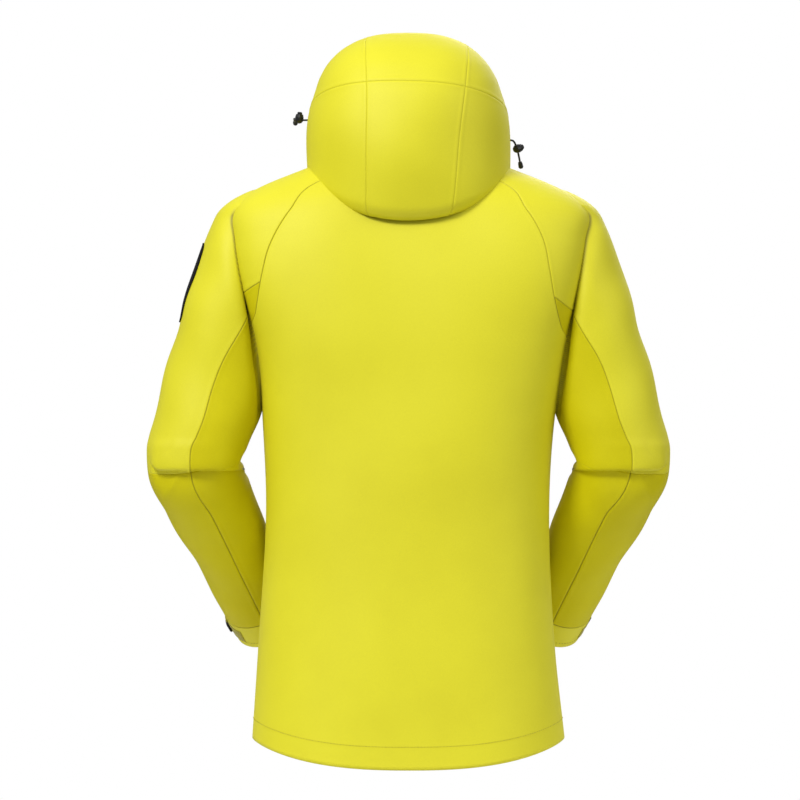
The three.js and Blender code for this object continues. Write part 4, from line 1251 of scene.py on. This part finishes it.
def row_of(name, body, lines, pitch, size, material, unevenness=0.05, shift=0.0):
    """Small shapes of a size (length, width, height in mm) along lines of (points, outward directions)."""
    spots, turns = [], []
    for points, outward in lines:
        run = np.concatenate([[0], np.cumsum(np.linalg.norm(np.diff(points, axis=0), axis=1))])
        at = np.arange(pitch * (0.5 + shift), run[-1], pitch)
        spot = np.stack([np.interp(at, run, points[:, k]) for k in range(3)], -1)
        along = np.stack([np.interp(at, run, np.gradient(points[:, k])) for k in range(3)], -1)
        out = np.stack([np.interp(at, run, outward[:, k]) for k in range(3)], -1)
        for p, a, o in zip(spot, along, out):
            a, o = Vector(a).normalized(), Vector(o)
            side_way = o.cross(a).normalized()
            matrix = Matrix((a, side_way, a.cross(side_way).normalized())).transposed()
            spots.append(p)
            turns.append(tuple(matrix.to_euler()))
    mesh = bpy.data.meshes.new(name)
    mesh.from_pydata(place(spots).tolist(), [], [])
    facing = mesh.attributes.new("facing", "FLOAT_VECTOR", "POINT")
    facing.data.foreach_set("vector", np.array(turns, np.float32).ravel())
    obj = bpy.data.objects.new(name, mesh)
    bpy.context.scene.collection.objects.link(obj)
    rule = obj.modifiers.new("row", "NODES")
    rule.node_group = SHAPES
    values = dict(zip(("Length", "Width", "Height"), (v / 1000 for v in size)))
    values.update({"Unevenness": unevenness, "Seed": 7, "Material": material})
    for socket in SHAPES.interface.items_tree:
        if socket.in_out == "INPUT" and socket.name in values:
            rule[socket.identifier] = values[socket.name]
    bpy.context.view_layer.update()
    real = bpy.data.meshes.new_from_object(obj.evaluated_get(bpy.context.evaluated_depsgraph_get()))
    obj.modifiers.clear()
    obj.data = real
    real.name = name
    real.shade_smooth()
    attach(obj, body)
    return obj


TOOTH_PITCH, TOOTH_SIZE = 1.5, (1.0, 1.5, 2.5)


def from_behind(grid):
    """For the parts of the front: what they face away from is behind them."""
    return grid + (0, 50, 0)


tape_rows = np.linspace(ZIP_TOP, ZIP_BOTTOM, 130)
outward = np.tile((1.0, 0.0, 0.0), (130, 1))
for name, side in SIDES.items():
    grid = on_zip(flat_grid(side * np.linspace(0.3, TAPE_WIDE, 8), TAPE_BACK, tape_rows))
    tape = panel(f"{name}_zip_tape_weave", [grid], from_behind, edges="", fabric=tape_weave, back=tape_weave)
    sew(tape, "shell", [f"{name}_zip_tape"])
    line = on_zip(np.stack([np.full(130, side * 1.25), np.full(130, 0.35), tape_rows], -1))
    shift = 0.5 * (side > 0)  # the two rows of teeth stand between one another
    teeth = row_of(
        f"{name}_zip_teeth", "shell", [(line, outward)], TOOTH_PITCH, TOOTH_SIZE, black_acetal, 0.0, shift
    )

FLAP_TOP, FLAP_BOTTOM, FLAP_HALF, FLAP_BACK = -112.0, -771.0, 21.0, 3.9
flap_across, flap_down = np.linspace(-FLAP_HALF, FLAP_HALF, 14), np.linspace(FLAP_TOP, FLAP_BOTTOM, 150)
flap_grid = on_zip(flat_grid(flap_across, FLAP_BACK, flap_down))
flap_grid[..., 1] += 0.5 * np.sin(flap_grid[..., 2] / 29)
# the storm flap uses the darker painted-shade copy of the face fabric
flap = panel("inner_storm_flap_cloth", [flap_grid], from_behind, fabric=shade_fabric, thick=0.0014)
sew(flap, "shell", ["inner_storm_flap"])

GUARD_HALF = 11.6
GUARD_ROUND = ((0.0, 0.3), (-0.3, 1.8), (0.8, 3.2), (2.6, 3.4), (4.4, 3.2), (5.2, 1.8), (5.0, 0.3))
GUARD_MIDDLE = (2.6, -1.0)
guard_path = curve_through([(0, y, z) for y, z in GUARD_ROUND], 28)
guard_across = np.stack([np.linspace(-GUARD_HALF, GUARD_HALF, 24), np.zeros(24), np.zeros(24)], -1)
guard_grid = guard_path[:, None] + guard_across[None]
guard_centre = on_zip(flat_grid([0], GUARD_MIDDLE[0], [GUARD_MIDDLE[1]]))[0, 0]
guard = panel(
    # the chin guard uses the darker painted-shade copy of the face fabric
    "chin_guard_cloth", [on_zip(guard_grid)], lambda g: guard_centre + 0 * g, edges="", fabric=shade_fabric
)
sew(guard, "shell", ["chin_guard"])

# ---------------------------------------------------------------------------------------------
# Hanger loop: a short length of woven polyester webbing, caught in the neck seam at both ends.
LOOP_PATH = ((-26, 71.6, 15), (-20, 68, 4), (0, LOOP_DEPTH, 0), (20, 68, 4), (26, 71.6, 15))
LOOP_WIDE = 6.0
loop_line = curve_through(LOOP_PATH, 60)
loop_way = np.gradient(loop_line, axis=0)
loop_way /= np.linalg.norm(loop_way, axis=1, keepdims=True)
loop_up = np.cross(loop_way, (0, -1, 0.25))
loop_up /= np.linalg.norm(loop_up, axis=1, keepdims=True)
loop_across = np.linspace(-LOOP_WIDE / 2, LOOP_WIDE / 2, 7)[None, :, None]
loop_grid = loop_line[:, None] + loop_up[:, None] * loop_across
loop = panel(
    "hanger_loop_webbing",
    [loop_grid],
    from_behind,
    edges="",
    fabric=webbing_weave,
    thick=0.0012,
    back=webbing_weave,
)
sew(loop, "shell", ["hanger_loop"])

# ---------------------------------------------------------------------------------------------
# Sleeve badge panel: a blank patch of matt black coated nylon bonded to the upper left sleeve.
BADGE_TOP, BADGE_BOTTOM, BADGE_HALF, BADGE_CORNER = -74.0, -178.0, 38.0, 12.0
BADGE_THICK, BADGE_ARM = 1.6, 66.0  # and the sleeve's radius under it
BADGE_TURN = -0.27  # its middle stands a little forward of the sleeve's outermost line
coated_black = woven_black("black_coated_nylon", 0x08080A, 420.0, rough=0.7, sheen=0.0, gloss=0.15)
badge_v = np.linspace(0, 1, 50)
badge_z = BADGE_TOP + (BADGE_BOTTOM - BADGE_TOP) * badge_v
badge_run = np.interp(-badge_z, -STATIONS[:14, 2], run[:14])
from_end = np.minimum(badge_v, 1 - badge_v) * (BADGE_TOP - BADGE_BOTTOM)
corner = np.clip(1 - from_end / BADGE_CORNER, 0, 1)
half_angle = (BADGE_HALF - BADGE_CORNER * (1 - np.sqrt(1 - corner**2))) / BADGE_ARM
badge_grid = sleeve_grid(badge_run, 1, BADGE_TURN - half_angle, BADGE_TURN + half_angle, 40)
away = badge_grid - sleeve_centre(badge_grid)
away /= np.linalg.norm(away, axis=2, keepdims=True)
badge = panel(
    "sleeve_badge_cloth",
    [badge_grid + away * BADGE_THICK],
    sleeve_centre,
    fabric=coated_black,
    thick=BADGE_THICK / 1000,
    back=coated_black,
)
sew(badge, "shell", ["sleeve_badge_panel"])

# ---------------------------------------------------------------------------------------------
# Cuff closures: a patch of loop pile sewn round the outer side of each cuff, and a tab of doubled
# face fabric over it with a moulded rubber grip at its free end.
TAB_START, TAB_GRIP, TAB_END = -1.25, -0.20, 0.04
PATCH_START, PATCH_END = -1.13, 0.66


def loop_pile():
    """Loop pile: a dense mat of small nylon loops, dyed like the fabric and very matt."""
    material, tree, shader = new_material("yellow_nylon_loop_pile", Roughness=0.95, Sheen_Weight=0.3)
    curls = texture(tree, "ShaderNodeTexVoronoi", "Object", in_Scale=1400.0)
    dye(tree, shader, curls, "Distance", ((0.1, 0xC9BF32), (0.8, 0x8F861C)))
    relief(tree, shader, curls, "Distance", 0.6, 0.0004)
    return material


pile = loop_pile()


def on_cuff(side, start, end, low, high, lift, cols):
    """A grid on the cuff between two angles and two distances from its end, lifted off it."""
    grid = sleeve_grid(np.linspace(END_RUN - high, END_RUN - low, 18), side, start, end, cols)
    out = grid - sleeve_centre(grid)
    out -= np.sum(out * F_DIR * (side, 1, 1), -1, keepdims=True) * F_DIR * (side, 1, 1)
    return grid + lift * out / np.linalg.norm(out, axis=2, keepdims=True)


for name, side in SIDES.items():
    strap = f"{name}_cuff_strap"
    shift = 0.0 if side > 0 else -0.3  # the right tab is closed further round to the front
    patch_grid = on_cuff(side, PATCH_START + shift, PATCH_END + shift, 9, 29, 0.9, 60)
    patch = panel(f"{name}_cuff_loop_pile", [patch_grid], sleeve_centre, fabric=pile, thick=0.001, back=pile)
    sew(patch, f"{name}_forearm", [f"{name}_cuff_loop_patch"])
    tab_grid = on_cuff(side, TAB_START, TAB_END + shift - 0.1, 7, 31, 2.9, 60)
    tab = panel(f"{name}_cuff_tab_cloth", [tab_grid], sleeve_centre, thick=0.0016, back=face_fabric)
    sew(tab, strap, [f"{name}_cuff_tab"])
    grip_grid = on_cuff(side, TAB_GRIP + shift, TAB_END + shift, 12, 26, 4.0, 26)
    ribs = np.sin(np.linspace(0, 7 * np.pi, 26)) ** 2 * 0.5
    grip_grid = grip_grid + (grip_grid - sleeve_centre(grip_grid)) * (ribs[None, :, None] / 45)
    rubber = {"fabric": black_rubber, "back": black_rubber, "thick": 0.0022}
    grip = panel(f"{name}_cuff_grip_rubber", [grip_grid], sleeve_centre, **rubber)
    del grip["cut"]
    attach(grip, strap)
    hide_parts(f"{name}_cuff_grip")

# ---------------------------------------------------------------------------------------------
# Hand pockets: water-resistant zips set into the fronts, each a coated tape with covered teeth.
POCKET_TOP, POCKET_LOW, POCKET_WIDE = np.array((116.0, -425.0)), np.array((142.0, -588.0)), 14.0
POCKET_TOOTH = (1.1, 1.0, 4.2)
pocket_way = (POCKET_LOW - POCKET_TOP) / np.linalg.norm(POCKET_LOW - POCKET_TOP)
pocket_side = np.array((-pocket_way[1], pocket_way[0]))


def on_front(x, z, lift):
    """The point of the front over x, z, lifted off it."""
    level = np.array(z, float)
    for _ in range(5):
        p = body_at(turn_at(x, level, back=False), level)
        level = level + (z - p[..., 2])
    return p - np.array((0, lift, 0))


for name, side in SIDES.items():
    down = np.linspace(0, 1, 60)[:, None, None]
    over = np.linspace(-POCKET_WIDE / 2, POCKET_WIDE / 2, 11)[None, :, None]
    flat = POCKET_TOP + (POCKET_LOW - POCKET_TOP) * down + pocket_side * over
    pocket = panel(
        f"{name}_pocket_zip_tape",
        [on_front(side * flat[..., 0], flat[..., 1], 1.4)],
        along_axis,
        fabric=coated_black,
        thick=0.0012,
        back=tape_weave,
    )
    sew(pocket, "shell", [f"{name}_pocket_zip"])
    flat = POCKET_TOP + (POCKET_LOW - POCKET_TOP) * down[:, 0] * 0.97
    line = on_front(side * flat[:, 0], flat[:, 1], 1.7)
    rows = [(line, np.tile((1.0, 0, 0), (60, 1)))]
    teeth = row_of(f"{name}_pocket_teeth", "shell", rows, 1.4, POCKET_TOOTH, black_acetal, 0.0)

# ---------------------------------------------------------------------------------------------
# Stitching: lockstitch in olive polyester thread along the hem, the cuffs and the front edges.
THREAD_OLIVE = 0xB5AC2C
STITCH, STITCH_PITCH, STITCH_UNEVEN = (3.0, 0.75, 0.6), 4.2, 0.12
thread = moulded("olive_polyester_thread", THREAD_OLIVE, 0.6, grain=1500.0)
HEM_STITCH, FRONT_STITCH, CUFF_STITCH = -694.0, 17.0, 8.0
HEM_POINTS, EDGE_POINTS = 700, 300


def stitch(name, body, lines):
    row = row_of(name, body, lines, STITCH_PITCH, STITCH, thread, STITCH_UNEVEN)


turns = np.linspace(np.pi * -0.5 + 0.12, np.pi * 1.5 - 0.12, HEM_POINTS)
hem_line = body_at(turns, HEM_STITCH)
hem_out = (hem_line - along_axis(hem_line)) / 150
lines = [(hem_line + hem_out * 0.35, hem_out)]
for side in (1, -1):
    z = np.linspace(-60, -690, EDGE_POINTS)
    edge = on_front(np.full(EDGE_POINTS, side * FRONT_STITCH), z, 0.35)
    lines.append((edge, np.tile((0.0, -1.0, 0.0), (EDGE_POINTS, 1))))
stitch("body_stitches", "shell", lines)
for name, side in SIDES.items():
    cuff_line = on_cuff(side, 0, 2 * np.pi, CUFF_STITCH - 0.01, CUFF_STITCH + 0.01, 0.4, 160)[9]
    cuff_out = (cuff_line - sleeve_centre(cuff_line)) / 45
    stitch(f"{name}_cuff_stitches", f"{name}_forearm", [(cuff_line, cuff_out)])

# ---------------------------------------------------------------------------------------------
# Sliders, pulls, eyelets, cord locks and cord ends keep their modelled shape: die-cast zinc painted
# black, and moulded black acetal. The cords are braided polyester.
HARDWARE = {"front_zip_slider": black_zinc, "front_zip_pull": black_acetal}
for side in SIDES:
    HARDWARE[f"{side}_pocket_slider"] = black_zinc
    for part in ("pocket_pull", "hood_eyelet", "cord_lock", "cord_lock_button"):
        HARDWARE[f"{side}_{part}"] = black_acetal
    HARDWARE[f"{side}_cord_end"] = black_rubber
for name, material in HARDWARE.items():
    for held in nodes[name].material_slots:
        held.material = material
braid, tree, shader = new_material("black_braided_polyester_cord", Roughness=0.7, Sheen_Weight=0.3)
plait = texture(tree, "ShaderNodeTexVoronoi", "Object", in_Scale=900.0)
dye(tree, shader, plait, "Distance", ((0.0, 0x26272A), (0.7, 0x0C0C0D)))
relief(tree, shader, plait, "Distance", 0.5, 0.0004)
for cord in cords.values():
    cord.data.materials.append(braid)
